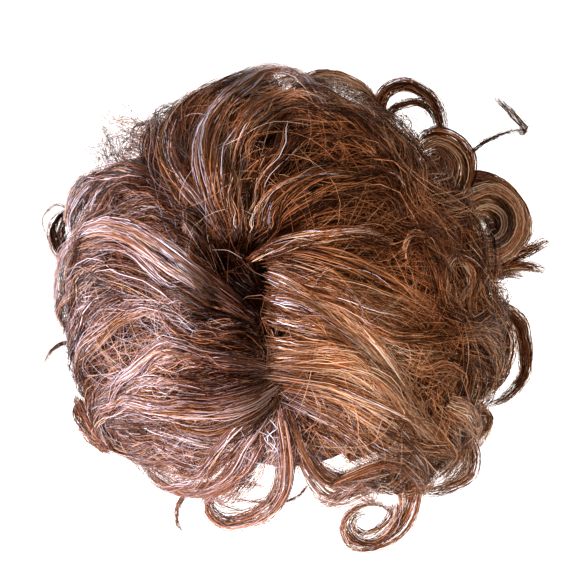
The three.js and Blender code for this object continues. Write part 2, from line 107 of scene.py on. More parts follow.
# Locks that lie on the hair's surface, by where they pass in the photograph's pixels
# Their tones carry painted light and shade: light bands and glints are painted highlights, and locks away
# from the lamps are darker
SURFACE_COLUMNS = ("tone", "lift", "half_wide", "strands", "path")
SURFACE_ROWS = [
    # Left side
    (0.68, 7, 5, 90, [(254, 322), (236, 308), (218, 292), (197, 277), (170, 256), (145, 237), (128, 229),
        (110, 226), (93, 229), (76, 240), (63, 257), (58, 277), (56, 298), (60, 318), (68, 335)]),
    (0.64, 5, 5, 60, [(259, 318), (230, 308), (210, 300), (179, 284), (156, 266), (139, 249), (116, 241),
        (99, 243), (84, 252), (74, 268)]),
    (0.48, 2, 6, 50, [(259, 322), (225, 318), (205, 312), (185, 298), (160, 280), (133, 272), (110, 268),
        (90, 270), (76, 282), (70, 300)]),
    (0.5, 1, 6, 50, [(261, 328), (225, 326), (200, 322), (179, 318), (162, 304), (148, 289), (133, 276),
        (110, 277), (87, 272)]),
    (0.62, 4, 4, 40, [(263, 340), (225, 345), (200, 342), (179, 330), (165, 310), (152, 292)]),
    (0.66, 3, 5, 50, [(150, 300), (128, 312), (105, 329), (88, 343), (79, 362), (80, 380), (88, 394)]),
    (0.42, 0, 5, 40, [(120, 300), (100, 306), (84, 318), (74, 335), (72, 352), (76, 370)]),
    (0.76, 7, 4, 60, [(269, 368), (240, 362), (210, 358), (185, 351), (168, 348), (150, 360), (130, 374),
        (110, 388), (97, 400)]),
    (0.58, 4, 6, 60, [(271, 374), (235, 372), (210, 366), (185, 362), (160, 368), (140, 380), (118, 393),
        (100, 408)]),
    (0.6, 4, 6, 60, [(273, 378), (240, 384), (210, 390), (168, 388), (133, 390), (112, 398), (98, 412)]),
    (0.72, 7, 6, 80, [(277, 384), (247, 402), (218, 411), (195, 411), (179, 410), (150, 407), (122, 399),
        (100, 404), (90, 414)]),
    (0.66, 4, 5, 60, [(279, 390), (255, 412), (225, 428), (195, 430), (165, 420), (140, 408), (118, 404)]),
    (0.52, 2, 6, 50, [(280, 394), (258, 420), (235, 440), (205, 448), (175, 442), (145, 430), (120, 418),
        (104, 420)]),
    (0.36, 3, 4, 60, [(77, 397), (85, 410), (97, 427), (114, 445), (137, 457), (162, 461), (182, 460)]),
    (0.48, -2, 6, 50, [(100, 415), (118, 432), (140, 444), (165, 452), (190, 458)]),
    (0.5, -3, 3, 36, [(84, 400), (78, 412), (86, 424), (96, 436), (106, 448)]),
    # Fringe
    (0.72, 4, 5, 60, [(274, 396), (264, 408), (247, 425), (224, 449), (206, 470), (192, 476), (176, 472),
        (160, 462)]),
    (0.68, 3, 4, 50, [(275, 400), (266, 419), (252, 445), (241, 465), (218, 484), (195, 488), (172, 482)]),
    (0.7, 2, 4, 40, [(275, 404), (268, 425), (258, 448), (245, 470), (222, 486), (198, 494), (172, 489),
        (152, 474)]),
    (0.62, 0, 9, 12, [(292, 406), (314, 432), (336, 453), (360, 471)]),
    (0.62, 0, 8, 10, [(316, 408), (342, 433), (364, 455), (380, 474)]),
    (0.64, 1, 5, 40, [(277, 398), (278, 415), (276, 436), (270, 458), (264, 474)]),
    (0.72, 2, 5, 50, [(280, 400), (285, 414), (288, 437), (287, 465), (282, 488)]),
    (0.64, 3, 3, 40, [(282, 398), (292, 425), (301, 448), (315, 466), (333, 477), (356, 476), (376, 468)]),
    (0.6, 2, 3, 30, [(284, 396), (296, 424), (305, 448), (318, 469), (336, 480), (358, 478), (378, 470)]),
    # Right side
    (0.76, 7, 5, 80, [(262, 274), (284, 283), (304, 298), (333, 315), (356, 332), (375, 350), (391, 368),
        (402, 385), (408, 398)]),
    (0.46, 4, 6, 60, [(264, 257), (278, 255), (298, 259), (333, 268), (375, 284), (399, 292), (427, 307),
        (445, 322)]),
    (0.5, 3, 6, 60, [(266, 271), (288, 274), (315, 282), (345, 294), (370, 306), (404, 316), (439, 334),
        (450, 346), (457, 364)]),
    (0.66, 5, 5, 60, [(260, 293), (298, 305), (327, 323), (350, 338), (375, 358), (392, 380), (400, 400),
        (404, 420)]),
    (0.58, 4, 5, 50, [(263, 312), (287, 318), (310, 323), (338, 336), (362, 352), (380, 372), (390, 396)]),
    (0.66, 5, 4, 50, [(263, 341), (280, 344), (304, 344), (333, 343), (358, 354), (378, 374), (392, 400),
        (404, 416)]),
    (0.69, 6, 4, 50, [(265, 362), (287, 360), (321, 359), (344, 361), (370, 372), (392, 392), (412, 414),
        (430, 434)]),
    (0.66, 4, 5, 50, [(257, 375), (287, 375), (310, 378), (344, 386), (372, 400), (396, 416), (424, 433),
        (441, 449), (446, 463), (436, 480)]),
    (0.64, 3, 5, 50, [(271, 386), (300, 390), (330, 400), (360, 414), (388, 430), (410, 448), (426, 466),
        (420, 482)]),
    (0.58, 3, 5, 50, [(275, 392), (304, 402), (332, 418), (358, 436), (380, 450), (400, 462)]),
    (0.5, 3, 4, 40, [(370, 322), (396, 336), (427, 339), (450, 336), (473, 330), (485, 320)]),
    (0.56, 2, 4, 30, [(398, 352), (422, 364), (439, 360), (456, 365), (460, 374), (453, 385), (441, 398)]),
    (0.36, 1, 5, 40, [(438, 314), (450, 338), (462, 362), (462, 385), (454, 405), (448, 425), (452, 445)]),
    (0.64, 6, 5, 50, [(447, 400), (462, 411), (471, 424), (472, 438), (466, 450)]),
    (0.66, 5, 4, 40, [(454, 404), (465, 413), (475, 426), (476, 440)]),
    (0.58, -2, 5, 40, [(460, 314), (478, 328), (492, 345), (497, 365), (490, 385), (476, 398), (462, 402)]),
    # Back
    (0.58, 6, 3, 40, [(254, 258), (262, 253), (272, 249), (298, 242), (344, 234), (372, 236), (395, 246)]),
    (0.24, 2, 6, 50, [(262, 250), (290, 240), (330, 228), (367, 226), (400, 234), (424, 248), (436, 268)]),
    (0.28, 2, 6, 50, [(258, 246), (273, 235), (298, 218), (333, 204), (367, 202), (398, 208), (420, 222)]),
    (0.42, 4, 6, 60, [(254, 242), (264, 235), (275, 210), (298, 193), (327, 179), (356, 177), (380, 182),
        (402, 194)]),
    (0.32, 3, 6, 60, [(250, 240), (255, 198), (266, 170), (287, 147), (310, 133), (338, 135), (367, 147),
        (388, 160)]),
    (0.2, 0, 5, 40, [(252, 240), (262, 215), (282, 195), (310, 178), (345, 168), (378, 172), (396, 186)]),
    (0.4, 3, 6, 60, [(244, 238), (240, 205), (240, 170), (250, 140), (270, 118), (296, 108), (316, 112),
        (330, 124)]),
    (0.5, 4, 6, 70, [(236, 238), (229, 193), (231, 158), (245, 128), (268, 106), (298, 98), (318, 104)]),
    (0.55, 5, 6, 80, [(232, 240), (214, 200), (204, 165), (206, 135), (222, 108), (244, 88), (270, 72),
        (296, 74), (314, 92), (322, 108)]),
    (0.55, 4, 6, 80, [(230, 244), (200, 208), (180, 175), (170, 145), (178, 118), (195, 98), (220, 84),
        (246, 72), (268, 65), (288, 66)]),
    (0.34, -1, 5, 40, [(222, 240), (192, 206), (166, 176), (155, 150), (158, 130)]),
    (0.6, 3, 3, 30, [(392, 132), (404, 150), (405, 170), (402, 190), (398, 208)]),
    (0.4, -4, 6, 50, [(330, 110), (350, 118), (368, 130), (382, 148), (392, 170)]),
    (0.6, 2, 3, 30, [(358, 98), (370, 110), (380, 122), (387, 136), (392, 152)]),
    (0.2, 1, 6, 50, [(380, 190), (395, 215), (410, 236), (428, 256), (440, 280), (447, 300)]),
    (0.62, 4, 3, 50, [(404, 262), (408, 246), (416, 238), (425, 240), (432, 252), (436, 268), (440, 288)]),
    (0.66, 4, 3.5, 50, [(456, 256), (446, 268), (444, 285), (448, 302), (457, 315)]),
    (0.6, 3, 3.5, 46, [(462, 262), (470, 275), (468, 290), (460, 300), (456, 314)]),
    (0.48, -2, 4, 40, [(486, 268), (478, 284), (480, 300), (490, 306)]),
    (0.34, 2, 6, 50, [(222, 242), (195, 222), (160, 200), (140, 188), (122, 186), (110, 194), (108, 208)]),
    (0.42, 3, 6, 50, [(214, 246), (200, 232), (170, 212), (145, 205), (125, 210), (112, 220)]),
    (0.5, 4, 5, 50, [(206, 252), (194, 238), (178, 222), (155, 212), (134, 214), (116, 222), (100, 228)]),
    (0.44, 2, 5, 40, [(202, 264), (194, 252), (185, 240), (160, 224), (140, 220)]),
    (0.5, 0, 5, 50, [(140, 180), (110, 176), (90, 182), (78, 194), (71, 212), (75, 232), (84, 240)]),
    # Glints
    (0.9, 7, 3, 12, [(266, 275), (285, 284), (310, 300)]),
    (0.9, 6, 3, 12, [(270, 300), (288, 303), (308, 312)]),
    (0.9, 6, 3, 12, [(272, 319), (288, 322), (306, 326)]),
    (0.9, 7, 3, 12, [(272, 341), (288, 346), (306, 348)]),
    (0.9, 7, 3, 12, [(272, 362), (287, 361), (306, 359)]),
    (0.94, 8, 2, 14, [(246, 262), (257, 256), (274, 249)]),
    (0.86, 6, 6, 36, [(232, 233), (229, 216), (225, 196)]),
    (0.86, 6, 6, 36, [(245, 233), (246, 213), (250, 192)]),
    (0.86, 6, 6, 30, [(258, 234), (263, 215), (271, 197)]),
    (0.9, 9, 5, 24, [(150, 240), (128, 230), (108, 227), (90, 231), (76, 241)]),
    (0.86, 9, 5, 14, [(205, 280), (185, 266), (165, 250), (148, 238)]),
    (0.94, 9, 3, 16, [(168, 347), (148, 360), (130, 372), (112, 384)]),
    (0.92, 8, 3, 16, [(160, 408), (140, 404), (122, 400), (106, 404)]),
    (0.9, 4, 2.5, 16, [(104, 184), (96, 192), (90, 204), (88, 218)]),
    (0.9, 4, 2.5, 14, [(108, 326), (94, 338), (84, 352), (80, 366)]),
    (0.88, 9, 4, 20, [(350, 330), (372, 350), (390, 372), (402, 392)]),
    (0.86, 7, 4, 16, [(340, 352), (366, 366), (386, 388), (400, 408)]),
]
# Hair deep in the whorl and along the parting, which the other hair doesn't follow: dark as painted shade in
# the hollow
HOLLOW_ROWS = [
    (0.24, 0, 6, 50, [(264, 310), (244, 292), (228, 274), (214, 259), (202, 246)]),
    (0.2, -1, 6, 50, [(262, 292), (250, 277), (238, 262), (226, 249), (214, 238)]),
    (0.26, -2, 5, 40, [(266, 326), (250, 308), (236, 290), (222, 275)]),
    (0.18, -2, 5, 40, [(258, 264), (242, 262), (228, 265), (214, 274)]),
    (0.22, -1, 5, 40, [(246, 238), (244, 254), (248, 272), (256, 290)]),
    (0.3, 0, 5, 50, [(258, 296), (262, 322), (266, 350), (271, 376), (277, 396)]),
    (0.34, 1, 5, 50, [(252, 312), (258, 338), (265, 364), (273, 388)]),
    (0.28, -1, 4, 40, [(266, 300), (268, 330), (272, 356), (276, 380)]),
    (0.3, 7, 6, 50, [(264, 356), (240, 352), (214, 350), (192, 346), (176, 346)]),
    (0.36, 6, 6, 50, [(268, 372), (240, 371), (212, 372), (190, 374), (172, 378)]),
    (0.3, 5, 5, 40, [(268, 382), (242, 390), (216, 397), (192, 397), (174, 394)]),
    (0.26, 5, 6, 50, [(258, 316), (238, 312), (218, 308), (198, 300), (182, 292)]),
    (0.3, 5, 6, 50, [(260, 338), (240, 336), (218, 333), (198, 328), (182, 320)]),
    (0.82, 12, 3, 1, [(198, 264), (210, 257), (226, 256), (240, 263)]),
    (0.82, 12, 3, 1, [(200, 246), (214, 236), (232, 234), (248, 236)]),
]

# Free curls round the rim: passing places in the photograph's pixels, and heights where they start and end
CURL_COLUMNS = ("piece", "tone", "heights", "half_band", "half_up", "strands", "path")
CURL_ROWS = [
    ("ring_back", 0.26, (-92, -108), 2.6, 5, 60, [(388, 132), (381, 114), (383, 97), (393, 88), (408, 85),
        (425, 93), (435, 104), (441, 120), (443, 136), (438, 152)]),
    ("ring_back", 0.26, (-96, -106), 1.4, 4, 30, [(382, 128), (390, 114), (402, 106), (416, 104),
        (427, 109), (435, 121), (437, 136)]),
    ("roll_back_right", 0.34, (-70, -94), 3, 6, 70, [(418, 142), (432, 134), (450, 140), (465, 155),
        (468, 170), (464, 187), (455, 204), (443, 212), (430, 206), (424, 190), (430, 174), (444, 168),
        (454, 176)]),
    ("roll_back_right", 0.62, (-68, -88), 5, 6, 100, [(420, 152), (438, 144), (455, 156), (460, 174),
        (453, 194), (438, 202), (426, 192), (424, 174), (436, 160), (448, 168), (448, 184), (438, 190),
        (432, 180)]),
    ("roll_right", 0.5, (-84, -110), 3.4, 7, 90, [(452, 198), (468, 178), (491, 180), (508, 190),
        (522, 208), (526, 226), (524, 236), (513, 250), (496, 260), (479, 264), (462, 258), (450, 246),
        (445, 231), (452, 216)]),
    ("roll_right", 0.72, (-80, -98), 5.5, 6, 120, [(460, 200), (488, 189), (510, 204), (515, 226),
        (506, 246), (486, 256), (466, 248), (456, 230), (462, 210), (482, 202), (500, 212), (504, 230),
        (492, 244), (474, 240), (468, 224), (480, 214), (492, 222), (488, 232)]),
    ("roll_right", 0.7, (-84, -92), 5, 5, 60, [(462, 232), (470, 212), (486, 206), (500, 216), (500, 232),
        (488, 242), (474, 238), (470, 226), (478, 216), (490, 220), (490, 230), (482, 234)]),
    ("ring_front", 0.5, (-80, -90), 4.5, 4, 34, [(398, 500), (396, 520), (384, 534), (366, 540), (352, 530),
        (354, 516), (368, 510)]),
    ("curl_back", 0.62, (-100, -112), 3, 5, 56, [(298, 86), (317, 77), (338, 78), (361, 87), (375, 101),
        (384, 118), (390, 136)]),
    ("tips_right", 0.36, (-98, -94), 3.4, 4, 50, [(476, 272), (490, 268), (505, 260), (525, 252),
        (549, 240)]),
    ("tips_right", 0.46, (-100, -98), 3.2, 4, 50, [(474, 276), (488, 272), (505, 266), (525, 266),
        (546, 271)]),
    ("tips_right", 0.46, (-102, -100), 2.6, 3, 30, [(474, 280), (488, 276), (505, 272), (524, 277)]),
    ("loop_right", 0.5, (-96, -114), 3, 5, 64, [(478, 300), (491, 305), (508, 312), (520, 323), (525, 341),
        (526, 358), (524, 375), (514, 390), (502, 400), (488, 405)]),
    ("loop_right", 0.52, (-94, -112), 4, 5, 56, [(473, 311), (491, 320), (502, 329), (507, 346), (504, 369),
        (499, 381), (488, 391), (474, 396)]),
    ("loop_right_low", 0.5, (-78, -94), 2.8, 5, 50, [(464, 434), (471, 449), (471, 463), (465, 476),
        (450, 486), (433, 492), (418, 490)]),
    ("loop_right_low", 0.84, (-70, -90), 5, 4, 56, [(448, 428), (457, 442), (457, 456), (449, 468),
        (438, 478)]),
    ("loop_right_low", 0.2, (-80, -86), 1.5, 3, 22, [(470, 404), (484, 411), (490, 420), (483, 431),
        (474, 440)]),
    ("ring_front", 0.48, (-66, -92), 1.6, 4, 34, [(328, 482), (350, 476), (370, 468), (387, 464),
        (402, 471), (412, 483), (415, 494), (412, 509), (404, 525), (390, 538), (370, 546), (352, 545),
        (343, 532), (344, 520), (356, 508), (372, 503), (385, 507), (393, 515), (393, 525), (381, 533)]),
    ("ring_front", 0.68, (-62, -84), 5, 5, 30, [(318, 468), (346, 484), (372, 478), (392, 481), (404, 494),
        (403, 510), (394, 524), (378, 535)]),
    ("ring_front", 0.6, (-56, -76), 3, 4, 22, [(296, 450), (308, 476), (324, 495), (342, 500), (360, 494),
        (378, 489), (394, 494)]),
    ("ring_front", 0.66, (-48, -66), 5, 4, 36, [(406, 482), (392, 471), (372, 474), (352, 486), (336, 499),
        (318, 508)]),
    ("back_wave_outer", 0.5, (-86, -90), 3, 2, 9, [(130, 182), (119, 162), (110, 142), (103, 121)]),
    ("back_wave_outer", 0.55, (-84, -90), 4, 2, 9, [(156, 140), (138, 127), (120, 122), (104, 121)]),
    ("back_wave_outer", 0.5, (-84, -92), 4, 2, 9, [(150, 146), (132, 136), (116, 136), (106, 146)]),
    ("back_left_fan", 0.5, (-86, -92), 3, 2, 9, [(128, 176), (112, 166), (102, 152), (104, 140)]),
    ("loop_front_left", 0.5, (-70, -86), 4, 3, 9, [(284, 486), (266, 502), (244, 512), (222, 508),
        (213, 498), (226, 490)]),
    ("loop_front_left", 0.5, (-62, -88), 3, 4, 44, [(285, 462), (282, 488), (270, 507), (247, 520),
        (224, 523), (209, 510), (212, 494), (227, 485), (252, 485), (266, 488)]),
    ("loop_front_left", 0.36, (-70, -76), 1.2, 2, 9, [(309, 484), (298, 496), (278, 503), (252, 501),
        (229, 499)]),
    ("loop_small_left", 0.42, (-68, -74), 1.4, 3, 26, [(196, 493), (176, 492), (160, 483), (148, 472),
        (144, 461)]),
    ("flick_front_left", 0.26, (-74, -90), 1, 2, 16, [(188, 491), (180, 502), (177, 511), (178, 523),
        (184, 533)]),
    ("flick_left_low", 0.42, (-96, -106), 2.2, 4, 34, [(108, 452), (94, 431), (84, 411), (76, 402),
        (76, 394)]),
    ("flick_left_low", 0.46, (-98, -106), 1.8, 4, 28, [(110, 452), (101, 447), (91, 438), (78, 427)]),
    ("flick_left", 0.26, (-98, -108), 1.1, 2, 18, [(82, 350), (74, 345), (62, 344), (51, 351), (43, 365)]),
    ("loop_left_back", 0.18, (-100, -114), 3, 4, 60, [(78, 262), (66, 257), (58, 244), (57, 230), (62, 219),
        (72, 212), (80, 215)]),
    ("loop_left_back", 0.42, (-102, -106), 3, 2, 14, [(62, 250), (67, 238), (76, 232), (86, 233)]),
    ("loop_left_back", 0.3, (-104, -114), 0.5, 1, 5, [(74, 212), (56, 204), (43, 218), (46, 236),
        (58, 254)]),
    ("back_left_low", 0.56, (-86, -108), 3, 5, 40, [(120, 190), (100, 186), (84, 196), (74, 215),
        (72, 234)]),
    ("roll_back_right", 0.14, (-92, -90), 0.9, 1.2, 14, [(458, 164), (469, 154), (485, 142), (502, 134),
        (519, 130), (527, 132)]),
    ("roll_back_right", 0.16, (-90, -88), 1.7, 1, 18, [(516, 131), (526, 131), (519, 123), (508, 110),
        (493, 95)]),
    ("temple_right", 0.74, (-80, -92), 4, 5, 50, [(446, 396), (470, 402), (482, 416), (480, 434),
        (470, 450)]),
]
# Curls of the fringe start on the hair's surface: passing places before the curl's own, by its first one
STEMS = {
    (328, 482): [(288, 408), (298, 440), (310, 466)],
    (285, 462): [(279, 404), (283, 434)],
}
STEM_SHARE = 0.36
STEM_FALL = 0.26
STEM_LIFT = 3.0

# Tufts of frizz: middle and half spread in the photograph's pixels, height and number of hairs
TUFT_COLUMNS = ("piece", "tone", "middle", "spread", "height", "hairs")
TUFT_ROWS = [
    ("back_wave_outer", 0.24, (128, 130), (32, 26), -90, 520),
    ("back_left_fan", 0.26, (102, 162), (16, 18), -92, 170),
    ("back_right_fan", 0.6, (348, 102), (26, 15), -94, 220),
    ("roll_back_right", 0.4, (500, 116), (20, 15), -90, 40),
    ("roll_right", 0.55, (482, 222), (30, 28), -114, 300),
    ("roll_back_right", 0.45, (442, 172), (20, 26), -96, 200),
    ("ring_back", 0.3, (412, 117), (20, 16), -100, 110),
    ("roll_back_right", 0.3, (478, 160), (26, 30), -96, 50),
    ("ring_front", 0.4, (386, 524), (24, 12), -86, 24),
    ("fringe_left_inner", 0.45, (236, 502), (34, 14), -78, 24),
    ("fringe_right_inner", 0.6, (346, 456), (24, 17), -48, 120),
    ("loop_right", 0.45, (504, 360), (14, 36), -106, 50),
]

# Areas of darker and lighter hair: middle and half spread in the photograph's pixels, and change of tone
# Partly the hair's own tone, partly painted shade in the whorl and between locks and painted light on lit
# locks
SHADE_ROWS = [
    ((206, 376), (34, 26), -0.2),
    ((208, 258), (36, 24), -0.12),
    ((229, 266), (24, 26), -0.16),
    ((240, 296), (20, 24), -0.22),
    ((250, 246), (24, 20), -0.14),
    ((240, 196), (44, 24), 0.15),
    ((258, 392), (22, 40), 0.15),
    ((406, 256), (44, 28), -0.16),
    ((436, 318), (30, 28), -0.15),
    ((432, 372), (26, 24), -0.08),
    ((488, 430), (26, 30), 0.24),
    ((480, 268), (30, 54), 0.16),
    ((350, 88), (40, 16), 0.16),
    ((94, 380), (26, 36), -0.14),
    ((88, 290), (20, 24), 0.14),
    ((332, 342), (20, 34), -0.12),
    ((286, 266), (14, 18), 0.18),
    ((176, 262), (16, 44), 0.1),
    ((398, 350), (24, 18), 0.12),
    ((121, 242), (18, 18), -0.18),
    ((120, 318), (20, 20), -0.15),
    ((182, 410), (28, 14), -0.16),
    ((190, 158), (16, 22), -0.16),
    ((314, 428), (20, 14), -0.16),
    ((300, 108), (24, 16), -0.14),
    ((255, 434), (60, 28), 0.05),
]

# Under locks, side by side from temple to temple round the nape
UNDER_COUNT = 13
UNDER_FIRST_ANGLE = 56.0
UNDER_ROOT = -100.0
UNDER_BACK_SHARE = 0.25
UNDER_ENDS = (-198.0, -212.0, -190.0, -206.0)
UNDER_CORE_END, UNDER_SIDE_END = -138.0, -116.0
UNDER_PITCH = (360 - 2 * UNDER_FIRST_ANGLE) / UNDER_COUNT
# The dense hair in an under lock: shares of the way down, and how thick it is there
UNDER_CORE_SECTIONS = ((0, 4), (0.3, 7), (0.6, 8), (0.85, 6), (1, 2))
UNDER_CORE_SIDES = 12
RINGLET_GAP, RINGLET_OUT, RINGLET_SHORT = 4, (17, 6), (-2, 34)
RINGLET_TURNS, RINGLET_COIL = (1.8, 3.0), (5, 8)
RINGLET_HALF_WIDE, RINGLET_TONE = 5.5, (0.4, 0.66)

# How the hair between the traced locks follows them
GUIDE_REACH = 6.0
GUIDE_WIDTH = 8.0
GUIDE_RIDGE = 4.0
GUIDE_VALLEY = 8.0
VALLEY_SHADE = 0.38
BASE_SHADE = 0.08
BASE_STOP = (0.9, 0.97)
ROOT_REACH = 3.0
WHORL_BARE = 16.5
FRONT_GAP_X, FRONT_GAP_Y = (-23.0, 43.0), -74.0
GAP_SHARE = 0.1
FLOW_STEP = 3.0
FLOW_WAVE = 60.0
FLOW_PHASE = 0.9
BACK_LENGTH, BACK_TURN = (12, 50), 0.2
ONWARD_LENGTH, ONWARD_TURN = (50, 130), 0.4
CLUMP_RISE, CLUMP_HALF_WIDE = (-4, 2), (3, 5.5)
ROOT_SINK, ROOT_SINK_SHARE = 8.0, 0.25
RIM_MARGIN = 0.03
COIL_SIZE = 3.0
COIL_LENGTH = 44.0
COIL_START, COIL_GROWTH = 20.0, 70.0

# Tone and root shading of the traced locks
GLINT_TONE = 0.8
LIT_ROOT = 0.3
SHADED_ROOT = 0.03
ROOT_ZONE = 28.0
RIGHTWARD = 20.0
RIGHTWARD_DIM = 1.15
DIM_LEAST, DIM_MOST = 1.4, 3.2
DIM_SHARE = 0.12
DIM_REACH = 52.0
FRINGE_ROOT = -44.0
FRINGE_TONE, FRINGE_CONTRAST = 0.61, 0.42
FRINGE_LOCK_SIDE = 20.0
FRINGE_SOFT, FRINGE_MIDDLE, FRINGE_SIDE = 0.5, 0.55, 40.0
FRINGE_START, FRINGE_BLEND = 60.0, 30.0
LOCK_TONE, LOCK_CONTRAST = 0.47, 1.6
BACK_LOCKS = 30.0
LOCK_HALF_THICK, GLINT_HALF_THICK = 3.0, 2.0
LOCK_POINTS = 90

# How far out the hair reaches, against the lock lines
STRAY_STOP = 1.03
ROLL_PIECES = ("back_right_lock", "side_right_back", "side_right_mid")
ROLL_REACH = 1.07
TUFT_LINE = "back_wave_outer"
TUFT_REACH = 0.9

# The dense hair inside the locks, which the strands hide, coloured dark as painted shade
CORE_DEPTH = 12.0
CORE_INSET = 0.08
CORE_HANG = 0.7
CORE_SIDES, CORE_SECTIONS = 16, 16
CORE_RIDGE, CORE_GAP = 0.7, 0.8
CORE_DROPS, CORE_TUCK = (0.4, 0.8), 0.04
# Core tones: dark as painted shade, lighter on raised ridges as painted light, darkest inside
CORE_TONE, CORE_RIDGE_LIGHT, CORE_INSIDE_SHADE = 0.16, 0.05, 0.06
CORE_TONE_LIMITS = (0.02, 0.4)
THIN_PIECES = ("fringe_left_inner", "fringe_centre", "fringe_right_inner")
CORE_REACH = {**{piece: 0.55 for piece in THIN_PIECES}, "fringe_right_outer": 0.72}

# How much hair there is, and how ends, strays and frizz run. A pair is the least and the most.
BASE_CLUMPS = 250
BASE_STRANDS = 32
COVER_CELL = 4.0
COVER_REACH = 5.0
COVER_CHANCE, START_BLUR = 0.8, 2.0
RIM_TAILS = 5
RIM_TAIL_STRANDS = 26
RIM_TAIL_START, RIM_TAIL_INSET, RIM_TAIL_SINK = 0.82, (0.9, 0.96), (3, 8)
RIM_TAIL_DIVE, RIM_TAIL_SHARE, RIM_TAIL_CURL = (0.85, 1.2), (1.0, 1.7), (4, 7)
RIM_TAIL_HALF_WIDE, RIM_TAIL_SHADE = (4, 6), (0, 0.15)
END_DIVE, END_SHARE, END_CURL = (0.5, 0.95), (0.6, 1.15), (5, 10)
CLUMP_HALF_THICK = 2.5
RINGLETS_PER_UNDER = 5
RINGLET_STRANDS = 52
LOCK_DENSITY = 2.8
CURL_DENSITY = 2.5
CURL_RISE = 1.7
STRAYS = 2500
WILD_SHARE = 0.14
STRAY_LENGTH, STRAY_POINTS, STRAY_LIFT = (30, 100), 12, 3.0
STRAY_TURN, WILD_TURN, STRAY_BEND = 0.36, 1.0, 0.026
# How much lighter strays are than the hair under them: painted light where loose hairs catch the lamps
STRAY_TONE, WILD_TONE = 0.12, 0.2
FRIZZ = 220
FRIZZ_TONE, FRIZZ_POINTS, FRIZZ_INSET = 0.45, 10, 6.0
FRIZZ_REACH, FRIZZ_CURL, FRIZZ_SWEEP = (3, 8), (6, 14), (0.6, 1.8)
TUFT_POINTS, TUFT_CURL, TUFT_RISE, TUFT_STEP = 9, 2.4, 0.35, (0.8, 2.2)
FINE_TAPER, FINE_ROOT = 0.6, 0.4

# How strands of one bundle differ: in tone, in how far they stray and in how they lie in their clump
CLUMP_TONE_SPREAD, STRAND_TONE_SPREAD = 0.06, 0.12
BRIGHT_SHARE, BRIGHT_TONE, DULL_TONE = 0.34, 0.26, -0.23
LOOSE_SHARE, LOOSE_FRIZZ = 0.2, 3.2
INSIDE_LIMIT, INSIDE_SIDE, INSIDE_RISE = 1.8, 1.7, 1.2
CLUMP_WAVES, SHAKE_PACE = (0.7, 1.6), (0.8, 3.2)
RADIUS_SPREAD = (0.75, 1.2)
DARKEST, LIGHTEST, GLINT_LIGHTEST = 0.01, 0.9, 0.98

# Strands: their width on the colour map, their turn about their own line, and their radii
UV_WIDTH = 0.002
STRAND_ROLL = 1.2
STRAND_RADIUS = 0.145
FINE_RADIUS = 0.072
GLINT_RADIUS = 0.11
CURL_RADIUS = 0.16
WISP_RADIUS = 0.12
WISP_HALF_UP = 2
RINGLET_RADIUS = 0.21
TUFT_RADIUS = 0.075

# Hair colour from darkest to lightest, as linear light: warm in most places, and mostly rose on the left
# The lightest stops are painted highlights, and the rose is a painted cool sheen over the hair's own colour
WARM_STOPS = [
    (0.0, (0.004, 0.0008, 0.0002)),
    (0.2, (0.026, 0.006, 0.0015)),
    (0.4, (0.1, 0.028, 0.0085)),
    (0.55, (0.20, 0.066, 0.024)),
    (0.7, (0.345, 0.14, 0.06)),
    (0.85, (0.46, 0.27, 0.16)),
    (1.0, (0.61, 0.48, 0.39)),
]
ROSE_STOPS = [
    (0.0, (0.004, 0.001, 0.0006)),
    (0.2, (0.026, 0.0065, 0.0026)),
    (0.4, (0.098, 0.031, 0.014)),
    (0.55, (0.185, 0.083, 0.06)),
    (0.7, (0.315, 0.195, 0.192)),
    (0.85, (0.46, 0.395, 0.455)),
    (1.0, (0.64, 0.61, 0.72)),
]
GLOSS_TINT = (1.0, 0.68, 0.52, 1.0)
WARM_SHARE = 0.49
ROSE_START = 0.51
ROSE_EDGE = -4.0
ROSE_PLAIN = 0.26
ROSE_BLUR = 22.0
ROSE_GLINT = 12.0
ROSE_FRINGE = 40.0
ROSE_BACK = 60.0
# Where the edge of the rose hair moves: over the fringe, at the back, and for the lightest strands
ROSE_FRINGE_START, ROSE_BACK_START, ROSE_MOVE = 40.0, 20.0, 40.0
ROSE_LIGHT, ROSE_LIGHT_BLEND = 0.7, 0.2
COPPER_MIDDLE, COPPER_SPREAD = np.array([-52.0, -54.0]), np.array([36.0, 16.0])
TONE_STOPS = [(WARM_SHARE * place, colour) for place, colour in WARM_STOPS]
TONE_STOPS += [(ROSE_START + (1 - ROSE_START) * place, colour) for place, colour in ROSE_STOPS]
# What the colour is multiplied by from a strand's root on: painted shade, darkest at the root
ROOT_STOPS = [(0.0, (0.205, 0.15, 0.12)), (0.12, (0.45, 0.355, 0.31)), (0.3, (1.0, 1.0, 1.0))]
STRAND_ROUGHNESS, STRAND_GLOSS = 0.4, 0.08
CORE_ROUGHNESS, CORE_GLOSS = 1.0, 0.0
# The net's colour: its own dark colour, darkened to near black as painted shade where it shows in the whorl's
# hollow
NET_STOPS = [(0.0, (0.012, 0.006, 0.004)), (0.12, (0.003, 0.0016, 0.0012))]
NET_CELLS, NET_BUMP, NET_DEPTH = 420.0, 0.4, 0.0006
NET_ROUGHNESS, NET_GLOSS = 0.9, 0.1
CAP_SPOKES, CAP_RINGS, CAP_TONE = 96, 26, 0.1

# Stage, in metres, watts and linear light
FLOOR_SIDE, FLOOR_HEIGHT = 8.0, -0.7
FLOOR_COLOUR, FLOOR_ROUGHNESS = (0.92, 0.92, 0.92, 1), 0.9
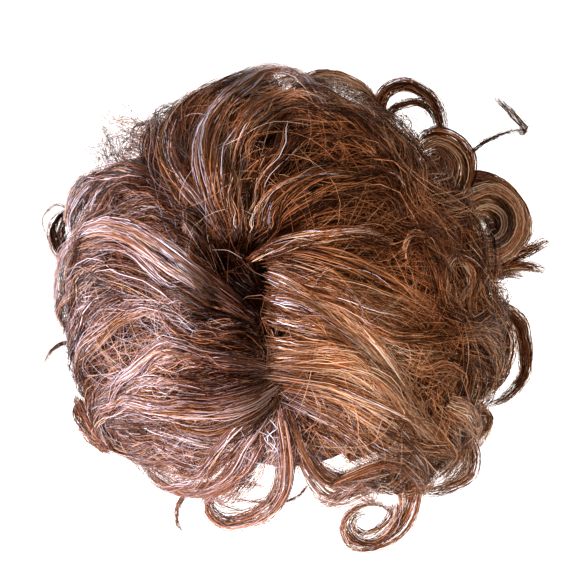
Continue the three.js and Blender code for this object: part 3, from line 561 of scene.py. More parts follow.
# Lights: name, place, size, power and colour
LIGHT_ROWS = [
    ("key", (-0.95, -0.3, 0.85), 0.5, 72, (1.0, 0.95, 0.97)),
    ("fill", (0.9, -0.4, 0.9), 0.6, 22, (1.0, 0.88, 0.72)),
    ("back", (0.2, 1.1, 0.7), 0.6, 4, (1.0, 0.92, 0.85)),
]
WORLD_COLOUR, WORLD_STRENGTH = (1, 1, 1, 1), 0.27
SENSOR_WIDTH = 36.0


def rng_for(*keys):
    """A random source that depends only on the seed and the keys."""
    return np.random.default_rng([SEED, *keys])


def smoothstep(value):
    share = np.clip(value, 0.0, 1.0)
    return share * share * (3.0 - 2.0 * share)


def unit(vectors):
    length = np.linalg.norm(vectors, axis=-1, keepdims=True)
    return vectors / np.maximum(length, 1e-9)


def spline(points, places):
    """A smooth curve through the points, read at places counted in spans between them."""
    p = np.asarray(points, float)
    p = np.vstack([2 * p[0] - p[1], p, 2 * p[-1] - p[-2]])
    first = np.minimum(places.astype(int), len(p) - 4)
    f = (places - first)[:, None]
    a, b, c, d = p[first], p[first + 1], p[first + 2], p[first + 3]
    return 0.5 * (2 * b + (c - a) * f + (2 * a - 5 * b + 4 * c - d) * f**2 + (3 * b - a - 3 * c + d) * f**3)


def catmull(points, count):
    """A smooth curve through the points, as count points with even steps along its length."""
    spans = len(points) - 1
    return evenly(spline(points, np.linspace(0, spans, SPAN_STEPS * spans + 1)), count)


def evenly(path, count, turn_weight=0.0):
    """The path again with even steps along its length, and closer ones where it turns if asked."""
    moves = np.diff(path, axis=0)
    steps = np.linalg.norm(moves, axis=1)
    ways = unit(moves)
    turns = np.arccos(np.clip(np.sum(ways[1:] * ways[:-1], axis=1), -1, 1))
    steps = steps + turn_weight * np.concatenate([[0.0], turns])
    along = np.concatenate([[0.0], np.cumsum(steps)])
    wanted = np.linspace(0, along[-1], count)
    return np.stack([np.interp(wanted, along, path[:, i]) for i in range(path.shape[1])], axis=1)


def line_at(places, shares):
    """A lock's border line at shares along it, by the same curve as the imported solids."""
    return spline(places, np.asarray(shares) * (len(places) - 1))


def side_share(x, y):
    """From 0 over the brow to 1 at the sides and back."""
    angle = np.degrees(np.arctan2(np.abs(x), -y))
    return smoothstep((angle - FRONT_ANGLE_START) / (FRONT_ANGLE_END - FRONT_ANGLE_START))


def dome_height(x, y):
    half_y = np.where(y > 0, HAIR_HALF_BACK, HAIR_HALF_FRONT)
    ratio = np.minimum(np.hypot(x / HAIR_HALF_WIDTH, y / half_y), RIM_RATIO)
    depth = FRONT_DEPTH + (SIDE_DEPTH - FRONT_DEPTH) * side_share(x, y)
    return HAIR_TOP - depth * (1 - np.sqrt(1 - ratio**2))


def floor_height(x, y):
    ratio = np.hypot(x / (CAP_HALF_WIDTH + HAIR_CLEARANCE), y / (CAP_HALF_LENGTH + HAIR_CLEARANCE))
    rise = (CAP_DEPTH + HAIR_CLEARANCE) * np.sqrt(np.maximum(0, 1 - ratio**2))
    underside = FRONT_UNDERSIDE + (SIDE_UNDERSIDE - FRONT_UNDERSIDE) * side_share(x, y)
    return np.maximum(rise - CAP_DEPTH, underside)


def parting_distance(x, y):
    spot = np.stack([x, y], axis=-1)
    best = np.full(np.shape(x), 1e9)
    for a, b in zip(PARTING[:-1], PARTING[1:]):
        share = np.clip(((spot - a) @ (b - a)) / ((b - a) @ (b - a)), 0, 1)
        best = np.minimum(best, np.linalg.norm(spot - a - share[..., None] * (b - a), axis=-1))
    return best


def surface_height(x, y):
    """The hair's upper surface, which dips to the cap along the parting and in the whorl."""
    fill = PARTING_FILL + (1 - PARTING_FILL) * smoothstep(parting_distance(x, y) / PARTING_WIDTH)
    from_whorl = np.hypot(x - WHORL[0], y - WHORL[1])
    hollow = WHORL_FILL + (1 - WHORL_FILL) * smoothstep((from_whorl - WHORL_HOLLOW) / WHORL_SLOPE)
    fill = np.minimum(fill, hollow)
    floor = floor_height(x, y)
    return floor + (dome_height(x, y) - floor) * fill + surface_wave(x, y)


def surface_wave(x, y):
    """Waves that cross the hair's flow, at uneven distances round the parting."""
    apart = parting_distance(x, y)
    turn = np.arctan2(y - WHORL[1], x - WHORL[0])
    phase = apart / WAVE_LENGTH
    for amount, bends, offset in WAVE_BENDS:
        phase = phase + amount * np.sin(bends * turn + offset)
    return WAVE_HEIGHT * np.sin(2 * np.pi * phase) * smoothstep(apart / WAVE_START)


def surface_normal(x, y):
    step = 2.0
    dx = (surface_height(x + step, y) - surface_height(x - step, y)) / (2 * step)
    dy = (surface_height(x, y + step) - surface_height(x, y - step)) / (2 * step)
    return unit(np.stack([-dx, -dy, np.ones_like(dx)], axis=-1))


def from_photo(pixels, height):
    """Places in the frame of photograph pixels at given heights."""
    scale = RIM_MM_PER_PIXEL * (CAMERA_HEIGHT - height) / (CAMERA_HEIGHT - RIM_HEIGHT)
    x = CAMERA_X + (pixels[:, 0] - PHOTO_MIDDLE) * scale
    y = CAMERA_Y + (PHOTO_MIDDLE - pixels[:, 1]) * scale
    return np.stack([x, y, height + np.zeros(len(pixels))], axis=1)


def to_photo(places):
    """The photograph pixels where places in the frame are seen."""
    scale = RIM_MM_PER_PIXEL * (CAMERA_HEIGHT - places[..., 2]) / (CAMERA_HEIGHT - RIM_HEIGHT)
    across = PHOTO_MIDDLE + (places[..., 0] - CAMERA_X) / scale
    down = PHOTO_MIDDLE - (places[..., 1] - CAMERA_Y) / scale
    return np.stack([across, down], axis=-1)


def on_surface(pixels, lift):
    """Places in the frame of photograph pixels that lie a lift above the hair's surface."""
    height = np.zeros(len(pixels))
    for _ in range(SETTLE_STEPS):
        places = from_photo(pixels, height)
        height = 0.5 * height + 0.5 * (surface_height(places[:, 0], places[:, 1]) + lift)
    return from_photo(pixels, height)


def sample(values, shares):
    """Rows of a path, read between its points at shares of its length."""
    spot = np.clip(shares, 0, 1) * (len(values) - 1)
    first = np.minimum(spot.astype(int), len(values) - 2)
    part = (spot - first)[..., None]
    return values[first] * (1 - part) + values[first + 1] * part


class Hair:
    """The strands of one piece, kept as batches until its mesh is made."""

    def __init__(self):
        self.batches = []

    def add(self, points, up, radius, tone, along):
        self.batches.append((points, up, radius, tone, along))


def add_bundle(hair, path, up, half_wide, half_thick, strands, tone, rng, points=14, clumps=5, tip=0.35,
               ragged=0.18, stagger=0.12, frizz=0.5, radius=STRAND_RADIUS, root=0.0, dim=1.0, thin=0.75,
               lightest=LIGHTEST, sway=0.2):
    """Strands along a path, in clumps that spread across it and draw together at their ends."""
    tangent = unit(np.gradient(path, axis=0))
    normal = unit(up - np.sum(up * tangent, axis=1, keepdims=True) * tangent)
    across = np.cross(tangent, normal)
    clump = np.arange(strands) % clumps
    clump_side = (np.arange(clumps) + rng.uniform(0.15, 0.85, clumps)) / clumps * 2 - 1
    clump_rise = rng.uniform(-1, 1, clumps) * np.sqrt(1 - 0.7 * clump_side**2)
    clump_wave = rng.uniform(*CLUMP_WAVES, clumps)
    clump_phase = rng.uniform(0, 2 * np.pi, (2, clumps))
    clump_tone = rng.normal(0, CLUMP_TONE_SPREAD, clumps)
    start = stagger * rng.uniform(0, 1, strands)
    end = 1 - ragged * rng.uniform(0, 1, strands) ** 1.5
    local = np.linspace(0, 1, points)[None, :] * np.ones((strands, 1))
    share = start[:, None] + (end - start)[:, None] * local
    spread = (0.6 + 0.4 * smoothstep(share / 0.25)) * (1 - (1 - tip) * smoothstep((share - 0.4) / 0.6))
    gather = 1 - 0.4 * smoothstep((share - 0.25) / 0.75)
    wave = 2 * np.pi * clump_wave[clump][:, None] * share
    side = clump_side[clump][:, None] + sway * np.sin(wave + clump_phase[0, clump][:, None])
    rise = clump_rise[clump][:, None] + 0.3 * np.sin(wave + clump_phase[1, clump][:, None])
    inside = np.clip(rng.normal(0, 1, (2, strands, 1)), -INSIDE_LIMIT, INSIDE_LIMIT) * gather
    loose = np.where(rng.uniform(0, 1, strands) < LOOSE_SHARE, LOOSE_FRIZZ, 1.0)[:, None]
    loose = loose * frizz * (0.3 + 0.7 * share)
    shake = np.zeros((2, strands, points))
    for _ in range(2):
        pace = rng.uniform(*SHAKE_PACE, (2, strands, 1))
        shake += np.sin(2 * np.pi * (pace * share[None] + rng.uniform(0, 1, (2, strands, 1))))
    shake *= loose[None] * 0.6
    offset_side = side * half_wide * spread + inside[0] * half_wide / clumps * INSIDE_SIDE + shake[0]
    offset_rise = rise * half_thick * spread + inside[1] * half_thick / clumps * INSIDE_RISE + shake[1]
    place = sample(path, share) + sample(across, share) * offset_side[..., None]
    place = place + sample(normal, share) * offset_rise[..., None]
    taper = np.minimum(1, 0.6 + 4 * local) * (1 - thin * smoothstep((local - 0.55) / 0.45))
    thick = radius * rng.uniform(*RADIUS_SPREAD, (strands, 1)) * taper
    bright = np.where(rng.uniform(0, 1, strands) < BRIGHT_SHARE, BRIGHT_TONE, DULL_TONE)
    shade = tone + clump_tone[clump] + rng.normal(0, STRAND_TONE_SPREAD, strands) + bright
    shade = np.clip(shade, DARKEST, lightest)
    hair.add(place, sample(normal, share), thick, shade, root + (1 - root) * local**dim)


def guide_samples():
    """Places, directions and tones along the traced locks that the other hair follows, seen from above."""
    places, ways, tones = [], [], []
    for row in SURFACE_ROWS:
        lock = dict(zip(SURFACE_COLUMNS, row))
        if lock["tone"] < GLINT_TONE:
            path = on_surface(catmull(lock["path"], 32), lock["lift"])[:, :2]
            places.append(path)
            ways.append(unit(np.gradient(path, axis=0)))
            tones.append(np.full(len(path), lock["tone"]))
    return np.vstack(places), np.vstack(ways), np.concatenate(tones)


GUIDE_PLACES, GUIDE_WAYS, GUIDE_TONES = guide_samples()
OUTLINE = np.array([row[4] for row in LINE_ROWS], float)
OUTLINE_TURNS = np.arctan2(OUTLINE[:, 1], OUTLINE[:, 0])
OUTLINE_REACH = np.hypot(OUTLINE[:, 0], OUTLINE[:, 1])
OUTLINE_REACH[[row[0] in ROLL_PIECES for row in LINE_ROWS]] *= ROLL_REACH
OUTLINE_REACH[[row[0] == TUFT_LINE for row in LINE_ROWS]] *= TUFT_REACH


def hair_ratio(spots):
    """How far out places lie, seen from above, as shares of the way to the top locks' ends."""
    turn = np.arctan2(spots[..., 1], spots[..., 0])
    reach = np.interp(turn, OUTLINE_TURNS, OUTLINE_REACH, period=2 * np.pi)
    return np.hypot(spots[..., 0], spots[..., 1]) / reach


def guide_weights(spot):
    return 1 / (np.sum((GUIDE_PLACES - spot) ** 2, axis=1) + GUIDE_REACH**2) ** 2


def flow_at(spot):
    """The way that hair lies at a place seen from above."""
    return unit(guide_weights(spot) @ GUIDE_WAYS)


def guide_tone(spot):
    weight = guide_weights(spot)
    return float(weight @ GUIDE_TONES / weight.sum())


def guide_ridge(plan):
    """How close each place is to a traced lock, from 1 on it to 0 in the valleys between."""
    gaps = np.sum((plan[:, None] - GUIDE_PLACES[None]) ** 2, axis=2).min(axis=1)
    return np.exp(-gaps / GUIDE_WIDTH**2)


def flow_path(start, length, turn, rng, way_sign=1):
    """A path seen from above along the flow, or back against it, that winds about it and ends at the rim."""
    spots = [np.asarray(start, float)]
    phase = rng.normal(0, FLOW_PHASE)
    stop = rng.uniform(*BASE_STOP)
    crosses_gap = rng.uniform() < GAP_SHARE
    for step in range(int(length / FLOW_STEP)):
        angle = turn * math.sin(2 * math.pi * step * FLOW_STEP / FLOW_WAVE + phase)
        way = flow_at(spots[-1]) * way_sign
        cos, sin = math.cos(angle), math.sin(angle)
        way = np.array([way[0] * cos - way[1] * sin, way[0] * sin + way[1] * cos])
        spots.append(spots[-1] + way * FLOW_STEP)
        if way_sign < 0 and at_root(spots[-1]):
            break
        if way_sign > 0 and (hair_ratio(spots[-1]) > stop or (in_front_gap(spots[-1]) and not crosses_gap)):
            break
    return np.array(spots)


def in_front_gap(spot):
    """Whether a place lies where the fringe is thin and the floor shows through."""
    return spot[1] < FRONT_GAP_Y and FRONT_GAP_X[0] < spot[0] < FRONT_GAP_X[1]


def at_root(spot):
    return parting_distance(*spot) < ROOT_REACH or np.hypot(*(spot - WHORL)) < WHORL_BARE


def curl_tail(start, heading, radius, length, dive, sense, step=2.0):
    """A curl that winds on from a heading about an upright axis and sinks as it goes."""
    angle = math.atan2(heading[1], heading[0])
    pitch = math.asin(max(-0.9, min(0.9, float(heading[2]))))
    place = start
    spots = []
    for count in range(int(length / step)):
        share = count * step / length
        pitch += (-dive - pitch) * min(1.0, step / 8)
        angle += sense * step * math.cos(pitch) / (radius * (1 - 0.3 * share))
        flat = math.cos(pitch)
        way = np.array([math.cos(angle) * flat, math.sin(angle) * flat, math.sin(pitch)])
        place = place + way * step
        spots.append(place)
    return np.array(spots)


# Top locks: clumps that leave the parting or the hair under them, follow the traced locks and curl at the rim

def sector_samples():
    """Places down the middle of each top lock, seen from above, to tell which lock a place is in."""
    shares = np.linspace(0.1, 1, 12)
    rows = [line_at(row[1:5], shares) for row in LINE_ROWS]
    return np.array([(rows[i] + rows[(i + 1) % len(rows)]) / 2 for i in range(len(rows))])


SECTOR_PLACES = sector_samples()


def sector_of(spot):
    return int(np.argmin(np.sum((SECTOR_PLACES - spot) ** 2, axis=2).min(axis=1)))


def add_base_hair(pieces):
    """Clumps that start where the hair is still thinnest, until it covers the head."""
    rng = rng_for(1)
    x = np.arange(-HAIR_HALF_WIDTH, HAIR_HALF_WIDTH, COVER_CELL)
    y = np.arange(-HAIR_HALF_FRONT, HAIR_HALF_BACK, COVER_CELL)
    cells = np.stack(np.meshgrid(x, y, indexing="ij"), axis=-1).reshape(-1, 2)
    bare = np.array([at_root(cell) or in_front_gap(cell) for cell in cells])
    cells = cells[(hair_ratio(cells) < BASE_STOP[0]) & ~bare]
    cover = np.zeros(len(cells))
    for _ in range(BASE_CLUMPS):
        spot = cells[np.argmin(cover + rng.uniform(0, COVER_CHANCE, len(cells)))]
        spot = spot + rng.uniform(-START_BLUR, START_BLUR, 2)
        before = flow_path(spot, rng.uniform(*BACK_LENGTH), BACK_TURN, rng, -1)
        after = flow_path(spot, rng.uniform(*ONWARD_LENGTH), ONWARD_TURN, rng)
        plan = np.vstack([before[:0:-1], after])
        for place in plan:
            cover += np.sum((cells - place) ** 2, axis=1) < COVER_REACH**2
        add_base_clump(pieces, plan, spot, rng)


def add_base_clump(pieces, plan, spot, rng):
    row = LINE_ROWS[sector_of(spot)]
    ridge = guide_ridge(plan)
    rise = GUIDE_RIDGE * ridge - GUIDE_VALLEY * (1 - ridge) + rng.uniform(*CLUMP_RISE)
    height = surface_height(plan[:, 0], plan[:, 1]) + rise
    if not at_root(plan[0]):
        share = np.linspace(0, 1, len(plan))
        height = height - ROOT_SINK * (1 - smoothstep(share / ROOT_SINK_SHARE))
    path = wind(np.column_stack([plan, height]), rng)
    if hair_ratio(plan[-1]) > BASE_STOP[0] - RIM_MARGIN:
        path = np.vstack([path, rim_tail(path, row[5], rng)])
    path = evenly(path, 90, turn_weight=9)
    up = surface_normal(path[:, 0], path[:, 1])
    tone = guide_tone(plan[len(plan) // 2]) - BASE_SHADE - VALLEY_SHADE * (1 - ridge.mean())
    half_wide = rng.uniform(*CLUMP_HALF_WIDE)
    add_bundle(pieces[row[0]], path, up, half_wide, CLUMP_HALF_THICK, BASE_STRANDS, tone, rng, points=16,
               clumps=5, tip=0.4, ragged=0.3, stagger=0.2, frizz=1.0)


def wind(path, rng):
    """The path again, wound loosely about itself towards its end."""
    if len(path) < 4:
        return path
    along = np.arange(len(path)) * FLOW_STEP
    tangent = unit(np.gradient(path, axis=0))
    normal = surface_normal(path[:, 0], path[:, 1])
    across = np.cross(tangent, normal)
    size = (COIL_SIZE * smoothstep((along - COIL_START) / COIL_GROWTH))[:, None]
    turn = (2 * np.pi * along / COIL_LENGTH + rng.uniform(0, 2 * np.pi))[:, None]
    return path + size * (np.cos(turn) * across + np.sin(turn) * normal)


def rim_tail(path, hang, rng):
    heading = unit(path[-1] - path[-3])
    inward = heading[0] * -path[-1, 1] - heading[1] * -path[-1, 0]
    sense = math.copysign(1.0, inward)
    dive = rng.uniform(*END_DIVE)
    length = hang * rng.uniform(*END_SHARE) / math.sin(dive)
    return curl_tail(path[-1], heading, rng.uniform(*END_CURL), length, dive, sense)


def line_reach(row):
    return TUFT_REACH if row[0] == TUFT_LINE else 1.0


def add_rim_tails(pieces):
    """Curled ends that hang from the top locks' rims and cover what is under them."""
    for order, row in enumerate(LINE_ROWS):
        rng = rng_for(12, order)
        following = LINE_ROWS[(order + 1) % len(LINE_ROWS)]
        tails = 0 if row[0] in THIN_PIECES else RIM_TAILS
        for tail in range(tails):
            across = (tail + rng.uniform(0.2, 0.8)) / tails
            shares = np.linspace(RIM_TAIL_START, 1, 8)
            plan = line_at(row[1:5], shares * line_reach(row)) * (1 - across)
            plan = plan + line_at(following[1:5], shares * line_reach(following)) * across
            plan = plan * rng.uniform(*RIM_TAIL_INSET)
            height = surface_height(plan[:, 0], plan[:, 1]) - rng.uniform(*RIM_TAIL_SINK)
            path = np.column_stack([plan, height])
            heading = unit(path[-1] - path[-3])
            dive = rng.uniform(*RIM_TAIL_DIVE)
            length = row[5] * rng.uniform(*RIM_TAIL_SHARE) / math.sin(dive)
            radius = rng.uniform(*RIM_TAIL_CURL)
            curl = curl_tail(path[-1], heading, radius, length, dive, rng.choice([-1.0, 1.0]))
            path = evenly(np.vstack([path, curl]), 80, turn_weight=6)
            up = np.column_stack([unit(path[:, :2]), np.full(len(path), 0.3)])
            tone = guide_tone(plan[-1]) - rng.uniform(*RIM_TAIL_SHADE)
            half_wide = rng.uniform(*RIM_TAIL_HALF_WIDE)
            add_bundle(pieces[row[0]], path, up, half_wide, CLUMP_HALF_THICK, RIM_TAIL_STRANDS, tone, rng,
                       points=17, clumps=4, tip=0.45, ragged=0.25, frizz=0.8, root=LIT_ROOT)


def rotate(vector, axis, angle):
    cos, sin = math.cos(angle), math.sin(angle)
    return vector * cos + np.cross(axis, vector) * sin + axis * np.dot(axis, vector) * (1 - cos)


def walk_end(start, heading, reach, axis, radius, sweep, step=2.0):
    """A loose end: it goes straight on, then curls about an axis."""
    spots = []
    place, way = start, heading
    for _ in range(max(1, int(reach / step))):
        place = place + way * step
        spots.append(place)
    for _ in range(max(1, int(radius * sweep / step))):
        way = rotate(way, axis, step / radius)
        place = place + way * step
        spots.append(place)
    return np.array(spots)


def root_shade(path):
    """Where a lock's shading starts, and how slowly it lightens: slowest leftwards from the parting."""
    start, end = path[0, :2], path[-1, :2]
    if parting_distance(*start) > ROOT_ZONE:
        return LIT_ROOT, 1.0
    if end[0] > start[0] + RIGHTWARD or start[1] < FRINGE_ROOT:
        return SHADED_ROOT, RIGHTWARD_DIM
    length = np.linalg.norm(np.diff(path, axis=0), axis=1).sum()
    return 0.0, float(np.clip(math.log(DIM_SHARE) / math.log(DIM_REACH / length), DIM_LEAST, DIM_MOST))


def lock_tone(path, tone):
    """A traced lock's tone: locks differ more at the back and right than drawn, as painted light on lit locks
    and painted shade on dark ones, and less in the fringe.
    """
    x, y = path[len(path) // 2, :2]
    if y < FRINGE_ROOT and x < FRINGE_LOCK_SIDE:
        return FRINGE_TONE + FRINGE_CONTRAST * (tone - FRINGE_TONE)
    if x > 0 or y > BACK_LOCKS:
        return LOCK_TONE + LOCK_CONTRAST * (tone - LOCK_TONE)
    return tone


def add_surface_locks(pieces):
    for order, row in enumerate(SURFACE_ROWS + HOLLOW_ROWS):
        lock = dict(zip(SURFACE_COLUMNS, row))
        rng = rng_for(2, order)
        pixels = catmull(lock["path"], LOCK_POINTS)
        path = on_surface(pixels, lock["lift"])
        up = surface_normal(path[:, 0], path[:, 1])
        hair = pieces[LINE_ROWS[sector_of(path[LOCK_POINTS // 2, :2])][0]]
        if lock["tone"] < GLINT_TONE:
            root, dim = root_shade(path)
            strands = int(lock["strands"] * LOCK_DENSITY)
            tone = lock_tone(path, lock["tone"])
            add_bundle(hair, path, up, lock["half_wide"], LOCK_HALF_THICK, strands, tone, rng, points=15,
                       clumps=7, tip=0.5, ragged=0.25, stagger=0.15, frizz=1.0, root=root, dim=dim)
        else:
            add_bundle(hair, path, up, lock["half_wide"], GLINT_HALF_THICK, lock["strands"], lock["tone"],
                       rng, points=9, clumps=7, tip=0.8, ragged=0.5, stagger=0.4, frizz=0.25,
                       radius=GLINT_RADIUS, root=LIT_ROOT, lightest=GLINT_LIGHTEST, sway=0.06)


def add_rim_curls(pieces):
    for order, row in enumerate(CURL_ROWS):
        curl = dict(zip(CURL_COLUMNS, row))
        rng = rng_for(3, order)
        stem = STEMS.get(curl["path"][0], [])
        pixels = catmull(stem + curl["path"], 120)
        height = np.linspace(*curl["heights"], len(pixels))
        path = from_photo(pixels, height)
        if stem:
            share = np.linspace(0, 1, len(pixels))
            settle = smoothstep((share - STEM_SHARE) / STEM_FALL)
            above = on_surface(pixels, STEM_LIFT)[:, 2]
            path = from_photo(pixels, above * (1 - settle) + height * settle)
        up = np.tile([0.0, 0.0, 1.0], (len(path), 1))
        points = int(np.clip(len(curl["path"]) * 2.2, 10, 30))
        clumps = max(3, round(1.5 * curl["half_band"]))
        strands = int(curl["strands"] * CURL_DENSITY)
        half_thick = CURL_RISE * curl["half_up"]
        radius = CURL_RADIUS if curl["half_up"] > WISP_HALF_UP else WISP_RADIUS
        add_bundle(pieces[curl["piece"]], path, up, curl["half_band"], half_thick, strands, curl["tone"], rng,
                   points=points, clumps=clumps, tip=0.6, ragged=0.32, stagger=0.08, frizz=0.8,
                   radius=radius, root=LIT_ROOT, thin=0.4)


# Under locks: ringlets that wind down from the cap

def under_name(order):
    return f"under_lock_{order + 1:02d}"


def under_place(angle, off, height):
    turn = np.radians(angle)
    return np.stack([
        (CAP_HALF_WIDTH + HAIR_CLEARANCE + off) * np.sin(turn),
        -(CAP_HALF_LENGTH + HAIR_CLEARANCE + UNDER_BACK_SHARE * off) * np.cos(turn),
        height + np.zeros_like(turn),
    ], axis=-1)


def add_under_hair(hair, order):
    end = UNDER_ENDS[order % len(UNDER_ENDS)]
    rng = rng_for(4, order)
    for ringlet in range(RINGLETS_PER_UNDER):
        centre = UNDER_FIRST_ANGLE + UNDER_PITCH * (order + (ringlet + 0.5) / RINGLETS_PER_UNDER)
        share = np.linspace(0, 1, 80)
        height = UNDER_ROOT + (end + rng.uniform(*RINGLET_SHORT) - UNDER_ROOT) * share
        swell = smoothstep((share - 0.05) / 0.3)
        off = RINGLET_GAP + RINGLET_OUT[ringlet % 2] * swell + rng.uniform(-2, 4)
        angle = centre + rng.uniform(-3, 3) * share
        axis = under_place(angle, off, height)
        turns = rng.uniform(*RINGLET_TURNS)
        coil = 2 * np.pi * (turns * share**1.1 + rng.uniform(0, 1)) * (1 if rng.uniform() < 0.5 else -1)
        size = rng.uniform(*RINGLET_COIL) * swell * (1 - 0.3 * share)
        path = axis + np.stack([size * np.cos(coil), size * np.sin(coil), np.zeros_like(share)], axis=1)
        up = np.stack([np.cos(coil), np.sin(coil), np.zeros_like(share)], axis=1)
        tone = rng.uniform(*RINGLET_TONE)
        add_bundle(hair, path, up, RINGLET_HALF_WIDE, CLUMP_HALF_THICK, RINGLET_STRANDS, tone, rng, points=19,
                   clumps=4, tip=0.5, ragged=0.25, frizz=0.8, radius=RINGLET_RADIUS, root=LIT_ROOT)


# Loose single hairs over the surface and round the rim

def add_strays(pieces):
    rng = rng_for(5)
    for _ in range(STRAYS):
        order = rng.integers(len(LINE_ROWS))
        row, following = LINE_ROWS[order], LINE_ROWS[(order + 1) % len(LINE_ROWS)]
        share = np.array([rng.uniform(0.08, 0.85)])
        across = rng.uniform()
        spot = line_at(row[1:5], share)[0] * (1 - across) + line_at(following[1:5], share)[0] * across
        flow = flow_at(spot)
        length = rng.uniform(*STRAY_LENGTH)
        along = np.linspace(0, length, STRAY_POINTS)
        wild = rng.uniform() < WILD_SHARE
        way = math.atan2(flow[1], flow[0]) + rng.normal(0, WILD_TURN if wild else STRAY_TURN)
        way = way + rng.normal(0, STRAY_BEND) * along
        way = way + rng.uniform(0, 0.35) * np.sin(2 * np.pi * along / rng.uniform(35, 80) + rng.uniform(0, 6))
        steps = np.stack([np.cos(way), np.sin(way)], axis=1) * length / (STRAY_POINTS - 1)
        plan = spot + np.cumsum(steps, axis=0)
        lift = rng.uniform(1, 5) * np.sin(np.pi * np.linspace(0.1, 1, STRAY_POINTS)) + STRAY_LIFT
        lighter = rng.normal(WILD_TONE if wild else STRAY_TONE, STRAND_TONE_SPREAD)
        tone = np.clip(guide_tone(spot) + lighter, 0.15, 0.95)
        if hair_ratio(plan).max() < STRAY_STOP:
            place = np.column_stack([plan, surface_height(plan[:, 0], plan[:, 1]) + lift])
            radius = FINE_RADIUS * rng.uniform(0.7, 1.5)
            add_fine_hair(pieces[row[0]], place, surface_normal(plan[:, 0], plan[:, 1]), tone, radius)


def add_fine_hair(hair, place, up, tone, radius):
    taper = radius * (1 - FINE_TAPER * np.linspace(0, 1, len(place)))
    along = np.linspace(FINE_ROOT, 1, len(place))
    hair.add(place[None], up[None], taper[None], np.array([tone]), along[None])


def add_tufts(pieces):
    for order, row in enumerate(TUFT_ROWS):
        tuft = dict(zip(TUFT_COLUMNS, row))
        rng = rng_for(9, order)
        for _ in range(tuft["hairs"]):
            pixel = np.array(tuft["middle"]) + np.array(tuft["spread"]) * rng.uniform(-1, 1, 2)
            start = from_photo(pixel[None], np.array([tuft["height"] + rng.normal(0, 5)]))[0]
            way = rng.uniform(0, 2 * np.pi) + np.linspace(0, rng.normal(0, TUFT_CURL), TUFT_POINTS)
            rise = rng.normal(0, TUFT_RISE)
            move = np.stack([np.cos(way), np.sin(way), np.full(TUFT_POINTS, rise)], axis=1)
            move = move * rng.uniform(*TUFT_STEP)
            up = np.tile([0.0, 0.0, 1.0], (TUFT_POINTS, 1))
            tone = np.clip(rng.normal(tuft["tone"], STRAND_TONE_SPREAD), 0.05, LIGHTEST)
            add_fine_hair(pieces[tuft["piece"]], start + np.cumsum(move, axis=0), up, tone, TUFT_RADIUS)


def add_frizz(pieces):
    rng = rng_for(6)
    for _ in range(FRIZZ):
        order = rng.integers(len(LINE_ROWS))
        row, following = LINE_ROWS[order], LINE_ROWS[(order + 1) % len(LINE_ROWS)]
        across = rng.uniform()
        tip = np.array(row[4]) * (1 - across) + np.array(following[4]) * across
        out = tip / np.linalg.norm(tip)
        start = np.array([*(tip - FRIZZ_INSET * out), surface_height(*tip) - rng.uniform(0, 20)])
        heading = unit(np.array([*out, 0.0]) + rng.normal(0, 0.6, 3))
        axis = unit(np.array([0, 0, rng.choice([-1.0, 1.0])]) + rng.normal(0, 0.3, 3))
        path = walk_end(start, heading, rng.uniform(*FRIZZ_REACH), axis, rng.uniform(*FRIZZ_CURL),
                        rng.uniform(*FRIZZ_SWEEP))
        path = evenly(np.vstack([start, path]), FRIZZ_POINTS)
        tone = np.clip(rng.normal(FRIZZ_TONE, 0.15), 0.1, LIGHTEST)
        up = np.tile([0.0, 0.0, 1.0], (FRIZZ_POINTS, 1))
        add_fine_hair(pieces[row[0]], path, up, tone, FINE_RADIUS)


# Tone by place

HUE_RNG = rng_for(10)


def area_shade(points):
    """How much darker or lighter hair is at places, by the areas that they are seen in: partly its own tone,
    partly painted shade and light.
    """
    pixels = to_photo(points)
    change = np.zeros(points.shape[:-1])
    for middle, spread, amount in SHADE_ROWS:
        change += amount * np.exp(-np.sum(((pixels - np.array(middle)) / np.array(spread)) ** 2, axis=-1))
    return change


def tone_place(points, tone):
    """Where strands of given tones lie on the colour ramp, by where on the head they are: rose for the
    painted cool sheen, and shifted by the painted shade and light of the shade areas.
    """
    blur = HUE_RNG.normal(0, ROSE_BLUR, len(points))
    plain = HUE_RNG.uniform(0, 1, len(points)) < ROSE_PLAIN
    middle = points.mean(axis=1)
    x, y = middle[:, 0], middle[:, 1]
    glint = smoothstep((tone - ROSE_LIGHT) / ROSE_LIGHT_BLEND)
    edge = ROSE_EDGE + ROSE_GLINT * glint + ROSE_FRINGE * smoothstep((-y - ROSE_FRINGE_START) / ROSE_MOVE)
    edge = edge - ROSE_BACK * (1 - glint) * smoothstep((y - ROSE_BACK_START) / ROSE_MOVE)
    from_copper = np.sum(((middle[:, :2] - COPPER_MIDDLE) / COPPER_SPREAD) ** 2, axis=1)
    edge = edge - ROSE_BACK * np.exp(-from_copper)
    rose = (x + blur < edge) & ~plain
    along = np.clip(tone[:, None] + area_shade(points), DARKEST, GLINT_LIGHTEST)
    soft = FRINGE_SOFT * smoothstep((-y - FRINGE_START) / FRINGE_BLEND) * (x < FRINGE_SIDE)
    along = along + soft[:, None] * (FRINGE_MIDDLE - along)
    return np.where(rose[:, None], ROSE_START + (1 - ROSE_START) * along, WARM_SHARE * along)


# Meshes

